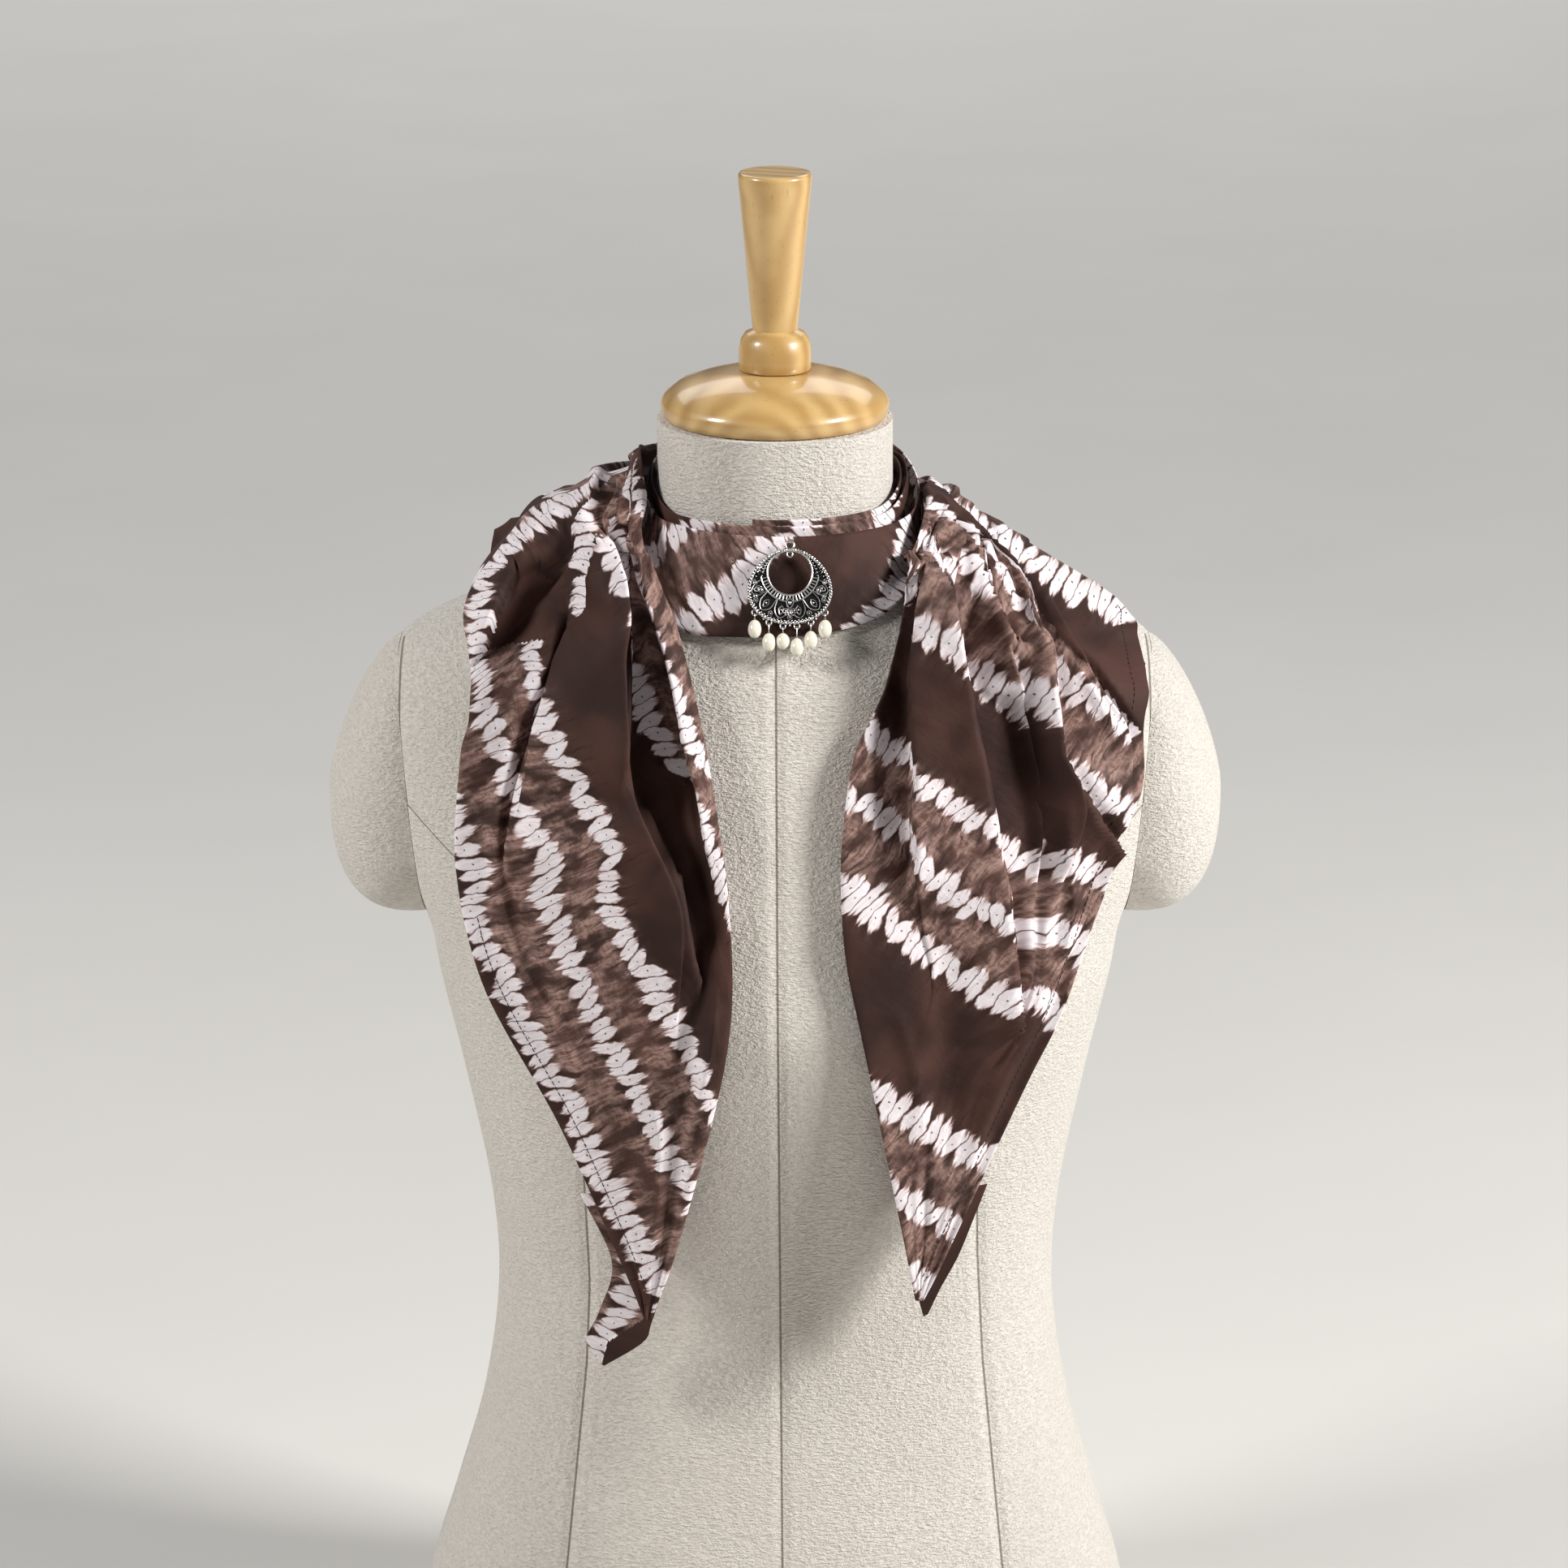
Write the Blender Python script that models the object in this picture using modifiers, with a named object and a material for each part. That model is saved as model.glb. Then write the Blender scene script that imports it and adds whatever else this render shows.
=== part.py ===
"""A square cotton scarf wound round the neck of a limbless dress form and pinned with a brooch.

Sizes are in millimetres and are turned into metres when a mesh is made. +Z is up and -Y is the
front. The form stands on Z = 0 with its middle line at X = 0. Left and right are the viewer's.
"""
import math

import bmesh
import bpy
import numpy as np
from mathutils import Matrix, Vector

MM = 0.001
SEAM_GAP = 0.3

# Dress form: height, half width, depth to the front, depth to the back and squareness

FORM_SECTIONS = (
    (0, 176, 120, 131.48, 2.25),
    (60, 167.5, 115, 122.5, 2.25),
    (110, 153, 107, 106, 2.25),
    (160, 139, 99, 92, 2.2),
    (215, 131.5, 95, 84, 2.2),
    (265, 134, 100, 88, 2.2),
    (325, 145, 113, 97, 2.25),
    (375, 156, 122, 105, 2.3),
    (402, 161, 120, 108, 2.35),
    (435, 174, 113, 108, 2.4),
    (470, 184, 103, 104, 2.45),
    (505, 186, 92, 98, 2.45),
    (530, 172.5, 84, 92, 2.4),
    (545, 145, 77, 86, 2.3),
    (560, 110, 70, 78, 2.2),
    (572, 79, 63, 69, 2.1),
    (582, 61, 57, 61, 2.05),
    (592, 54.8, 54.6, 56, 2.0),
    (605, 53.7, 53.7, 54, 2.0),
    (634.5, 53.5, 53.5, 53.5, 2.0),
)
FORM_SIDES = 32
ARMHOLE_LOW, ARMHOLE_HIGH, ARMHOLE_MIDDLE = 402, 530, 466
ARMHOLE_LOW_X, ARMHOLE_HIGH_X = 161, 172
ARMHOLE_CUT_LOW = 380
CAP_REACH = 206
CAP_RINGS, CAP_SIDES = 7, 24
CAP_ROUNDNESS, CAP_TOP_SLACK = 2.1, 0.65

# Turned wood, radius and height from the middle of the top down

NECK_DISC = (
    (0, 656.3), (17, 656.3), (24, 655.4), (34, 653.1), (44, 649.6), (50, 645),
    (52, 641), (51.6, 637.8), (49.8, 635), (0, 635),
)
KNOB = (
    (0, 746.6), (15.4, 746.6), (16.6, 745.2), (16.5, 742), (10.3, 676.2), (10.6, 674.8),
    (13.4, 673.6), (15.6, 670.3), (16.4, 665.5), (16.4, 660), (15.9, 656.7), (0, 656.7),
)
TURNED_STEPS = 28

# Scarf

CLOTH_WALL = 1.3
FOLD_DEPTH = 1.3
BAND_WALL = 1.3
DRAPE_SLACK = 0.86
TAIL_LIFT = 4.4
LEFT_NECK_LIFT, RIGHT_NECK_LIFT = 8.0, 13.6
NECK_REACH, NECK_FADE = 88.0, 44.0
NECK_LOW, NECK_RISE = 530.0, 24.0
NAPE_START, NAPE_FADE = 30.0, 28.0
PUSH_SOFTNESS = 0.8
CHEST_CLEAR = 2.2
LEFT_NAPE_LIFT, RIGHT_NAPE_LIFT = 15.0, 1.0
SECOND_LAYER_LIFT = 1.6

# Each row is a section across the cloth, from the nape over the shoulder to the tip: its place,
# outer edge and inner edge. A depth of None lays the section on the form's front.
LEFT_SECTIONS = (
    ("start", (63, 41, 582), (59, 38, 597)),
    ("tuck", (51, 56, 598), (46.5, 50.5, 612)),
    ("crossing", (30, 82, 592), (26, 66, 613)),
    ("nape", (-6, 90, 572), (-3, 72, 608)),
    ("back", (-72, 92, 553), (-40, 56, 610)),
    ("behind", (-124, 58, 553), (-57, 26, 620)),
    ("crest", (-139, 0, 549), (-57, -4, 621)),
    ("fold edge", (-136, -58, 537), (-61, -16, 611)),
    ("fold foot", (-135, -62, 533), (-61, -24, 606)),
    ("collar", (-135, None, 524), (-57, -48, 588)),
    ("high chest", (-136, None, 512), (-50, None, 571)),
    ("armpit", (-140, None, 495), (-42, None, 553)),
    ("chest", (-143, None, 449), (-30, None, 505)),
    ("hem corner", (-131, None, 398), (-21, None, 444)),
    ("bust", (-97, None, 335), (-21, None, 378)),
    ("low", (-68, None, 266), (-42, None, 287)),
    ("tip", (-59, None, 243), (-56, None, 243.5)),
)
# Share of the way from the outer to the inner edge, and height off the form, of: hem turn, edge,
# valley 1, soft ridge, valley 2, pleat edge, pleat front, pleat back, recess, strip crease,
# inner edge, inner turn
LEFT_PLACES = {
    "start": (0.03, 0, 0.10, 0.22, 0.34, 0.46, 0.58, 0.56, 0.68, 0.84, 1, 0.96),
    "tuck": (0.03, 0, 0.10, 0.22, 0.34, 0.46, 0.58, 0.56, 0.68, 0.84, 1, 0.96),
    "crossing": (0.03, 0, 0.10, 0.22, 0.34, 0.46, 0.60, 0.56, 0.68, 0.84, 1, 0.96),
    "nape": (0.03, 0, 0.10, 0.22, 0.34, 0.46, 0.60, 0.56, 0.68, 0.84, 1, 0.96),
    "back": (0.04, 0, 0.12, 0.26, 0.40, 0.54, 0.68, 0.63, 0.74, 0.87, 1, 0.96),
    "behind": (0.05, 0, 0.16, 0.34, 0.52, 0.68, 0.79, 0.75, 0.84, 0.92, 1, 0.97),
    "crest": (0.05, 0, 0.22, 0.40, 0.58, 0.75, 0.84, 0.81, 0.88, 0.94, 1, 0.97),
    "fold edge": (0.06, 0, 0.22, 0.40, 0.57, 0.74, 0.83, 0.79, 0.88, 0.94, 1, 0.97),
    "fold foot": (0.06, 0, 0.24, 0.40, 0.57, 0.73, 0.84, 0.78, 0.89, 0.94, 1, 0.97),
    "collar": (0.06, 0, 0.32, 0.46, 0.59, 0.72, 0.86, 0.79, 0.90, 0.95, 1, 0.96),
    "high chest": (0.06, 0, 0.26, 0.36, 0.44, 0.54, 0.83, 0.75, 0.88, 0.94, 1, 0.95),
    "armpit": (0.05, 0, 0.20, 0.26, 0.32, 0.40, 0.77, 0.69, 0.84, 0.92, 1, 0.95),
    "chest": (0.05, 0, 0.11, 0.16, 0.20, 0.26, 0.70, 0.64, 0.80, 0.93, 1, 0.95),
    "hem corner": (0.04, 0, 0.10, 0.16, 0.22, 0.32, 0.79, 0.75, 0.86, 0.94, 1, 0.95),
    "bust": (0.05, 0, 0.12, 0.22, 0.32, 0.44, 0.64, 0.72, 0.80, 0.90, 1, 0.94),
    "low": (0.08, 0, 0.14, 0.24, 0.34, 0.44, 0.60, 0.70, 0.80, 0.90, 1, 0.92),
    "tip": (0.10, 0, 0.14, 0.24, 0.34, 0.44, 0.60, 0.70, 0.80, 0.90, 1, 0.90),
}
LEFT_HEIGHTS = {
    "start": (0, 0.6, 0, 0.8, 0, 0.8, 1, 0.5, 0, 0.8, 0.6, 0),
    "tuck": (0, 1, 0, 1.5, 0, 1.5, 2, 1, 0, 1.5, 1, 0),
    "crossing": (0, 2, 0, 2.5, 0, 3, 4, 2, 0, 3, 3, 0),
    "nape": (0, 2, 0, 3, 0, 3, 5, 2, 0, 3, 3, 0),
    "back": (0, 3, 0, 5, 0, 5, 7, 2, 0, 5, 3, 0),
    "behind": (-2, 2, 4, 8, 4, 6, 8, 2, -2, 4, 3, -1),
    "crest": (-4, 0, 6, 10, 7, 6, 8, 1, -3, 3, 1, -3),
    "fold edge": (-3, 2, 8, 9, 7, 7, 8, 1, -4, 3, 0, -4),
    "fold foot": (-3, 1, 0, 3, 0, 6, 8, 1, -5, 3, 0, -4),
    "collar": (-1, 3, 1, 5, 1, 7, 9, 3, -2, 4, 2, -2),
    "high chest": (-1, 3, 1, 5, 1, 7, 9.5, 4, -1, 5, 3, -1),
    "armpit": (-1, 3, 1, 4, 1, 6.5, 9.5, 4, -1, 6, 4, 0),
    "chest": (-1, 3, 1, 3, 1, 5, 8.5, 4, -1, 5, 4, 0),
    "hem corner": (-1, 2, 0, 2, 1, 4, 6, 2.5, 0, 4, 3.5, 0),
    "bust": (-1.5, 1.5, 0, 1.5, 2, 3, 2, 1, 1, 4, 2.5, -1),
    "low": (-1, 1.5, 0.5, 1.5, 2, 2.5, 2, 1, 1.5, 3.5, 2, -1),
    "tip": (-1, 1, 0.5, 1, 1.2, 1.2, 1, 1, 1, 1, 1, -1),
}
RIGHT_SECTIONS = (
    ("nape", (-10, 74, 564), (-12, 65.5, 596)),
    ("back", (80, 90.5, 548), (51, 65, 586)),
    ("behind", (146, 54, 541), (67, 30, 598)),
    ("crest", (162, 0, 541), (67, -2, 602)),
    ("fold top", (163, -20, 538), (68, -14, 600)),
    ("collar", (165, None, 530), (66, -38, 591)),
    ("high chest", (166, None, 519), (58, None, 572)),
    ("armpit", (165.5, None, 506), (55, None, 552)),
    ("corner", (166, None, 484), (49, None, 530)),
    ("under corner", (160, None, 467), (37, None, 503)),
    ("chest", (151, None, 451), (32, None, 469)),
    ("bust", (144, None, 427), (31.5, None, 441)),
    ("hem turn", (130, None, 386), (34, None, 412)),
    ("waist", (111, None, 347), (41, None, 373)),
    ("low", (78, None, 274), (58, None, 284)),
    ("tip", (67, None, 251), (64, None, 251.5)),
)
# The same for: hem turn, edge, foot 5, ridge 5, foot 4, ridge 4, foot 3, ridge 3, foot 2,
# ridge 2, ridge 1, foot 1, inner edge, inner turn
RIGHT_PLACES = {
    "nape": (0.03, 0, 0.11, 0.08, 0.29, 0.25, 0.47, 0.43, 0.66, 0.62, 0.84, 0.80, 1, 0.96),
    "back": (0.04, 0, 0.24, 0.20, 0.42, 0.38, 0.56, 0.52, 0.74, 0.69, 0.86, 0.83, 1, 0.96),
    "behind": (0.05, 0, 0.42, 0.38, 0.56, 0.52, 0.73, 0.69, 0.85, 0.81, 0.92, 0.90, 1, 0.97),
    "crest": (0.05, 0, 0.50, 0.46, 0.63, 0.59, 0.80, 0.75, 0.89, 0.85, 0.95, 0.93, 1, 0.98),
    "fold top": (0.05, 0, 0.48, 0.43, 0.61, 0.56, 0.80, 0.74, 0.90, 0.85, 0.95, 0.93, 1, 0.98),
    "collar": (0.05, 0, 0.40, 0.35, 0.54, 0.49, 0.75, 0.69, 0.90, 0.84, 0.95, 0.93, 1, 0.98),
    "high chest": (0.05, 0, 0.25, 0.20, 0.46, 0.41, 0.66, 0.60, 0.88, 0.82, 0.94, 0.91, 1, 0.97),
    "armpit": (0.05, 0, 0.13, 0.08, 0.43, 0.38, 0.56, 0.51, 0.81, 0.75, 0.93, 0.89, 1, 0.97),
    "corner": (0.05, 0, 0.10, 0.06, 0.38, 0.33, 0.48, 0.45, 0.71, 0.66, 0.88, 0.84, 1, 0.97),
    "under corner": (0.04, 0, 0.09, 0.06, 0.25, 0.20, 0.38, 0.34, 0.59, 0.54, 0.79, 0.75, 1, 0.97),
    "chest": (0.04, 0, 0.08, 0.12, 0.20, 0.17, 0.30, 0.27, 0.49, 0.44, 0.74, 0.71, 1, 0.97),
    "bust": (0.04, 0, 0.06, 0.10, 0.15, 0.19, 0.24, 0.28, 0.41, 0.37, 0.68, 0.71, 1, 0.97),
    "hem turn": (0.04, 0, 0.05, 0.08, 0.11, 0.14, 0.17, 0.20, 0.30, 0.26, 0.58, 0.66, 1, 0.96),
    "waist": (0.06, 0, 0.07, 0.14, 0.20, 0.26, 0.33, 0.40, 0.48, 0.54, 0.64, 0.76, 1, 0.94),
    "low": (0.10, 0, 0.08, 0.15, 0.22, 0.28, 0.35, 0.42, 0.49, 0.56, 0.66, 0.78, 1, 0.90),
    "tip": (0.10, 0, 0.08, 0.15, 0.22, 0.28, 0.35, 0.42, 0.49, 0.56, 0.66, 0.78, 1, 0.90),
}
RIGHT_HEIGHTS = {
    "nape": (0, 2, 0, 2, 0, 2, 0, 3, 0, 3, 3, 0, 2, 0),
    "back": (0, 3, 0, 4, 0, 4, 0, 5, 0, 5, 4, 1, 2, 0),
    "behind": (-2, 1, -1, 4, 0, 5, 1, 7, 1, 8, 7, 1, 3, -1),
    "crest": (-3, 0, -3, 1, -3, 2, -2, 5, -2, 6, 6, 0, 2, -2),
    "fold top": (-3, 0, -3, 2, -3, 3, -3, 7, -2, 8, 7, 0, 2, -2),
    "collar": (-2, 1, -1, 4, -1, 5, -1, 8, -1, 9, 8, 1, 3, -1),
    "high chest": (-1, 3, 0, 5, 0, 6, 0, 8, 0, 9.5, 8, 2, 4, 0),
    "armpit": (-1, 3, 0, 4, 0, 7, 1, 4, 0, 9.5, 8, 2, 4, 0),
    "corner": (-1, 3, 0, 3, 0, 7, 1, 3, 0, 9, 8, 2, 4, 0),
    "under corner": (-1, 3, 0, 3, 0, 5, 1, 2, 0, 8, 7, 2, 4, 0),
    "chest": (-1, 2, 0, 1, 0, 4, 0, 1.5, 0, 7, 6, 2, 4, 0),
    "bust": (-1, 2, 0, 1, 0, 2.5, 0.5, 1, 0, 5.5, 4, 1.5, 3.5, 0),
    "hem turn": (-1, 2, 0, 0.5, 1, 0.5, 0.5, 0.5, 0, 4, 2, 0.5, 3, 0),
    "waist": (-1, 2, 1, 3, 2, 0.5, 0.5, 0.5, 0.5, 0.5, 1.5, 1, 2.5, -1),
    "low": (-1, 1.5, 1, 1, 1, 1, 1, 1, 1, 1, 1.5, 1.5, 2, -1),
    "tip": (-1, 1, 1, 1, 1, 1, 1, 1, 1, 1, 1, 1, 1, -1),
}
STEPS_ACROSS, STEPS_ALONG = 2, 2

# The second thickness of the folded square, which shows past the front one at each tip
LEFT_UNDER = (
    ((-88, 300), (-38, 303)),
    ((-74, 268), (-48, 266)),
    ((-80, 243), (-56, 240)),
    ((-86, 228), (-60, 230)),
    ((-80, 218), (-78, 216.5)),
)
RIGHT_UNDER = (
    ((96, 304), (62, 300)),
    ((90, 288), (62, 284)),
    ((83, 270), (62, 268)),
    ((75, 255), (65, 252)),
    ((69.5, 243), (67.5, 242)),
)

# Throat band, the stretch across the front of the neck: turn from the front in degrees, top
# radius, top height, low radius and low height
BAND_CENTRE_X = 3.5
BAND_SECTIONS = (
    (-122, 62, 614, 62, 587),
    (-95, 62, 604, 63, 583),
    (-70, 62, 595, 70, 573),
    (-48, 62, 594, 82, 560),
    (-30, 62, 594, 85, 553),
    (-12, 62, 594, 81, 552.5),
    (8, 62, 594, 79, 553),
    (25, 62, 594, 80, 556),
    (38, 62, 594, 80, 561),
    (52, 62, 594, 75, 568),
    (75, 62, 596, 64, 580),
    (98, 62, 604, 62, 585),
    (130, 62, 614, 62, 588),
    (158, 62, 611, 62, 589),
    (182, 60.5, 603, 60.5, 590),
)
BAND_CLEAR, BAND_SOFTNESS = 2.6, 0.3
BAND_STEPS_ROUND, BAND_STEPS_DOWN = 3, 4

# Thin layers inside the band: name, middle x, radius, height, rise, drop and first turn
LAYERS = (
    ("scarf_neck_layer_inner", 1.6, 55.9, 600.0, 12.0, 6.5, -12),
    ("scarf_neck_layer_outer", 2.0, 58.4, 597.6, 15.0, 7.0, -115),
)
LAYER_WALL = 1.0
LAYER_STEPS = 34
LAYER_LAST_TURN = 186
LAYER_LIFT_START, LAYER_LIFT_SPAN = 50, 60
LAYER_DIVE_START, LAYER_DIVE_SPAN, LAYER_DIVE = 140, 44, 8
LAYER_LEAN = ((0.0, -0.35), (0.4, 0.0), (1.0, 0.1))
UNDER_COLUMNS = 6

# Brooch
BROOCH_MIDDLE = (6.7, -74.8, 574.5)
BROOCH_LEAN = math.radians(22.0)
BROOCH_HALF_WIDTH, BROOCH_HALF_HEIGHT, BROOCH_BELLY = 18.7, 17.0, 0.13
BROOCH_THICK = 1.5
HOLE_RADIUS, HOLE_RISE = 9.7, 6.1
TOP_RING_RADIUS, TOP_RING_WIRE = 1.9, 0.5
PIN_RADIUS, PIN_HALF_LENGTH, PIN_BACK = 0.5, 12.0, 2.5
PIN_LEVEL, PIN_POST, PIN_OVERHANG = -4.5, 1.6, 1.2
LUG_RADIUS, LUG_WIRE = 1.2, 0.35
EYE_RADIUS, EYE_WIRE, EYE_DROP = 1.4, 0.35, 0.4
PEARL_HALF_WIDTH, PEARL_HALF_HEIGHT = 3.0, 4.1
PEARL_SIDES, PEARL_RINGS = 10, 7
# Distance across and extra length of the wire eye
PEARLS = ((-15.6, 0.0), (-9.3, 1.6), (-3.1, 0.0), (3.1, 2.2), (9.3, 0.6), (15.6, 0.0))
PEARL_LEAN = math.radians(26)


def clear_scene():
    for item in list(bpy.data.objects):
        bpy.data.objects.remove(item, do_unlink=True)


def make_collection(name):
    group = bpy.data.collections.new(name)
    bpy.context.scene.collection.children.link(group)
    return group


def make_material(name, colour, roughness, metallic=0.0):
    finish = bpy.data.materials.new(name)
    finish.use_nodes = True
    shader = finish.node_tree.nodes["Principled BSDF"]
    shader.inputs["Base Color"].default_value = (*colour, 1.0)
    shader.inputs["Roughness"].default_value = roughness
    shader.inputs["Metallic"].default_value = metallic
    return finish


def add_object(name, mesh, finish, group, smooth_angle=None):
    piece = bpy.data.objects.new(name, mesh)
    mesh.materials.clear()
    mesh.materials.append(finish)
    if smooth_angle is not None:
        mesh.shade_smooth()
        mesh.set_sharp_from_angle(angle=math.radians(smooth_angle))
    group.objects.link(piece)
    return piece


def mesh_from_points(name, points, faces):
    mesh = bpy.data.meshes.new(name)
    mesh.from_pydata([tuple(float(v) * MM for v in p) for p in points], [], faces)
    mesh.update()
    return mesh


def grid_faces(rows, columns, closed=False):
    faces = []
    span = columns if closed else columns - 1
    for row in range(rows - 1):
        for column in range(span):
            after = (column + 1) % columns
            faces.append((row * columns + column, row * columns + after,
                          (row + 1) * columns + after, (row + 1) * columns + column))
    return faces


def smooth_through(points, steps):
    """Catmull-Rom curve through the first axis of an array, with the given steps a span."""
    points = np.asarray(points, float)
    padded = np.concatenate([2 * points[:1] - points[1:2], points, 2 * points[-1:] - points[-2:-1]])
    result = []
    for span in range(len(points) - 1):
        p0, p1, p2, p3 = padded[span:span + 4]
        for step in range(steps):
            t = step / steps
            result.append(0.5 * (2 * p1 + (p2 - p0) * t + (2 * p0 - 5 * p1 + 4 * p2 - p3) * t ** 2
                                 + (3 * p1 - p0 - 3 * p2 + p3) * t ** 3))
    result.append(points[-1])
    return np.array(result)


# Shape of the form

def drape_sections():
    """The form's sections as hanging cloth meets them: below its fullest point it hangs nearly straight."""
    table = np.array(FORM_SECTIONS, float)
    for column in (1, 2, 3):
        fullest = 0.0
        for row in range(len(table) - 1, -1, -1):
            fullest = max(fullest, table[row, column])
            table[row, column] += DRAPE_SLACK * (fullest - table[row, column])
    return table


FORM_TABLE = np.array(FORM_SECTIONS, float)
DRAPE_TABLE = drape_sections()


def section_value(points, table):
    """1 on the surface, less inside and more outside."""
    half_width, front, back, power = (np.interp(points[..., 2], table[:, 0], table[:, c]) for c in range(1, 5))
    depth = np.where(points[..., 1] < 0, front, back)
    across = np.abs(points[..., 0]) / half_width
    along = np.abs(points[..., 1]) / depth
    return (across ** power + along ** power) ** (1 / power)


def smooth_step(value):
    value = np.clip(value, 0.0, 1.0)
    return value * value * (3 - 2 * value)


def distance_and_normal(points, table):
    step = 0.5
    slope = np.zeros(points.shape)
    for axis in range(3):
        shift = np.zeros(3)
        shift[axis] = step
        slope[..., axis] = (section_value(points + shift, table)
                            - section_value(points - shift, table)) / (2 * step)
    size = np.linalg.norm(slope, axis=-1)
    return (section_value(points, table) - 1) / size, slope / size[..., None]


def push_clear(points, clearance, table, softness):
    """Moves the points that are nearer than the clearance out to it, with a soft start."""
    points = points.copy()
    distance = distance_and_normal(points, table)[0]
    target = clearance + softness * np.logaddexp(0.0, (distance - clearance) / softness)
    for _ in range(6):
        distance, normal = distance_and_normal(points, table)
        points += normal * (target - distance)[..., None]
    return points


def lay_on_front(points, lift):
    """Moves the points front to back until each lies at its lift off the draped front."""
    points = points.copy()
    points[..., 1] = -60.0
    for _ in range(60):
        distance, normal = distance_and_normal(points, DRAPE_TABLE)
        sign = np.where(normal[..., 1] > 0, 1.0, -1.0)
        points[..., 1] += np.clip((lift - distance) * sign, -4, 4) * 0.9
    return points


def armhole_x(height):
    share = (height - ARMHOLE_LOW) / (ARMHOLE_HIGH - ARMHOLE_LOW)
    return ARMHOLE_LOW_X + share * (ARMHOLE_HIGH_X - ARMHOLE_LOW_X)


def armhole_radius(angle):
    """Distance from the middle of the armhole to its edge, in its own slanted plane."""
    low, high = 0.0, 120.0
    for _ in range(40):
        radius = (low + high) / 2
        height = ARMHOLE_MIDDLE + radius * math.sin(angle)
        point = np.array([armhole_x(height), radius * math.cos(angle), height])
        if section_value(point, FORM_TABLE) < 1:
            low = radius
        else:
            high = radius
    return low


def build_torso(finish, group):
    table = smooth_through(FORM_TABLE, 2)
    points = []
    for height, half_width, front, back, power in table:
        for side in range(FORM_SIDES):
            angle = 2 * math.pi * side / FORM_SIDES
            cosine, sine = math.cos(angle), math.sin(angle)
            radius = (abs(cosine) ** power + abs(sine) ** power) ** (-1 / power)
            depth = front if sine < 0 else back
            points.append((half_width * radius * cosine, depth * radius * sine, height))
    faces = grid_faces(len(table), FORM_SIDES, closed=True)
    faces.append(tuple(reversed(range(FORM_SIDES))))
    top = (len(table) - 1) * FORM_SIDES
    faces.append(tuple(range(top, top + FORM_SIDES)))
    mesh = mesh_from_points("dress_form", points, faces)
    form = bmesh.new()
    form.from_mesh(mesh)
    for side in (-1, 1):
        place = Vector((side * (armhole_x(ARMHOLE_MIDDLE) - SEAM_GAP / 2), 0, ARMHOLE_MIDDLE)) * MM
        lean = (ARMHOLE_HIGH_X - ARMHOLE_LOW_X) / (ARMHOLE_HIGH - ARMHOLE_LOW)
        outward = Vector((side, 0, -lean)).normalized()
        faces = [f for f in form.faces if all(v.co.z > ARMHOLE_CUT_LOW * MM for v in f.verts)]
        edges = {edge for face in faces for edge in face.edges}
        verts = {vert for face in faces for vert in face.verts}
        cut = bmesh.ops.bisect_plane(form, geom=list(verts) + list(edges) + faces, dist=1e-6,
                                     plane_co=place, plane_no=outward, clear_outer=True)
        rim = [item for item in cut["geom_cut"] if isinstance(item, bmesh.types.BMEdge)]
        bmesh.ops.edgeloop_fill(form, edges=rim)
    bmesh.ops.recalc_face_normals(form, faces=form.faces[:])
    form.to_mesh(mesh)
    form.free()
    return add_object("dress_form", mesh, finish, group, 50)


def build_arm_cap(name, side, finish, group):
    points = []
    for ring in range(CAP_RINGS):
        reach = math.sin(math.pi / 2 * ring / CAP_RINGS)
        for corner in range(CAP_SIDES):
            angle = 2 * math.pi * corner / CAP_SIDES
            power = CAP_ROUNDNESS - CAP_TOP_SLACK * math.sin(angle)
            radius = armhole_radius(angle)
            edge_x = armhole_x(ARMHOLE_MIDDLE + radius * math.sin(angle)) + SEAM_GAP / 2
            shrink = (1 - reach ** power) ** (1 / power)
            points.append((side * (edge_x + (CAP_REACH - edge_x) * reach),
                           radius * shrink * math.cos(angle),
                           ARMHOLE_MIDDLE - 3 * reach + radius * shrink * math.sin(angle)))
    points.append((side * CAP_REACH, 0, ARMHOLE_MIDDLE - 3))
    faces = grid_faces(CAP_RINGS, CAP_SIDES, closed=True)
    last = (CAP_RINGS - 1) * CAP_SIDES
    for corner in range(CAP_SIDES):
        faces.append((last + corner, last + (corner + 1) % CAP_SIDES, len(points) - 1))
    faces.append(tuple(range(CAP_SIDES)))
    mesh = mesh_from_points(name, points, faces)
    cap = bmesh.new()
    cap.from_mesh(mesh)
    bmesh.ops.recalc_face_normals(cap, faces=cap.faces[:])
    cap.to_mesh(mesh)
    cap.free()
    return add_object(name, mesh, finish, group, 50)


def build_turned(name, outline, finish, group):
    mesh = bpy.data.meshes.new(name)
    mesh.from_pydata([(r * MM, 0, h * MM) for r, h in outline],
                     [(i, i + 1) for i in range(len(outline) - 1)], [])
    piece = add_object(name, mesh, finish, group)
    turn = piece.modifiers.new("Turn", "SCREW")
    turn.angle = math.tau
    turn.steps = turn.render_steps = TURNED_STEPS
    turn.use_merge_vertices = True
    turn.merge_threshold = 0.00005
    turn.use_smooth_shade = True
    return piece


# Scarf

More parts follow.
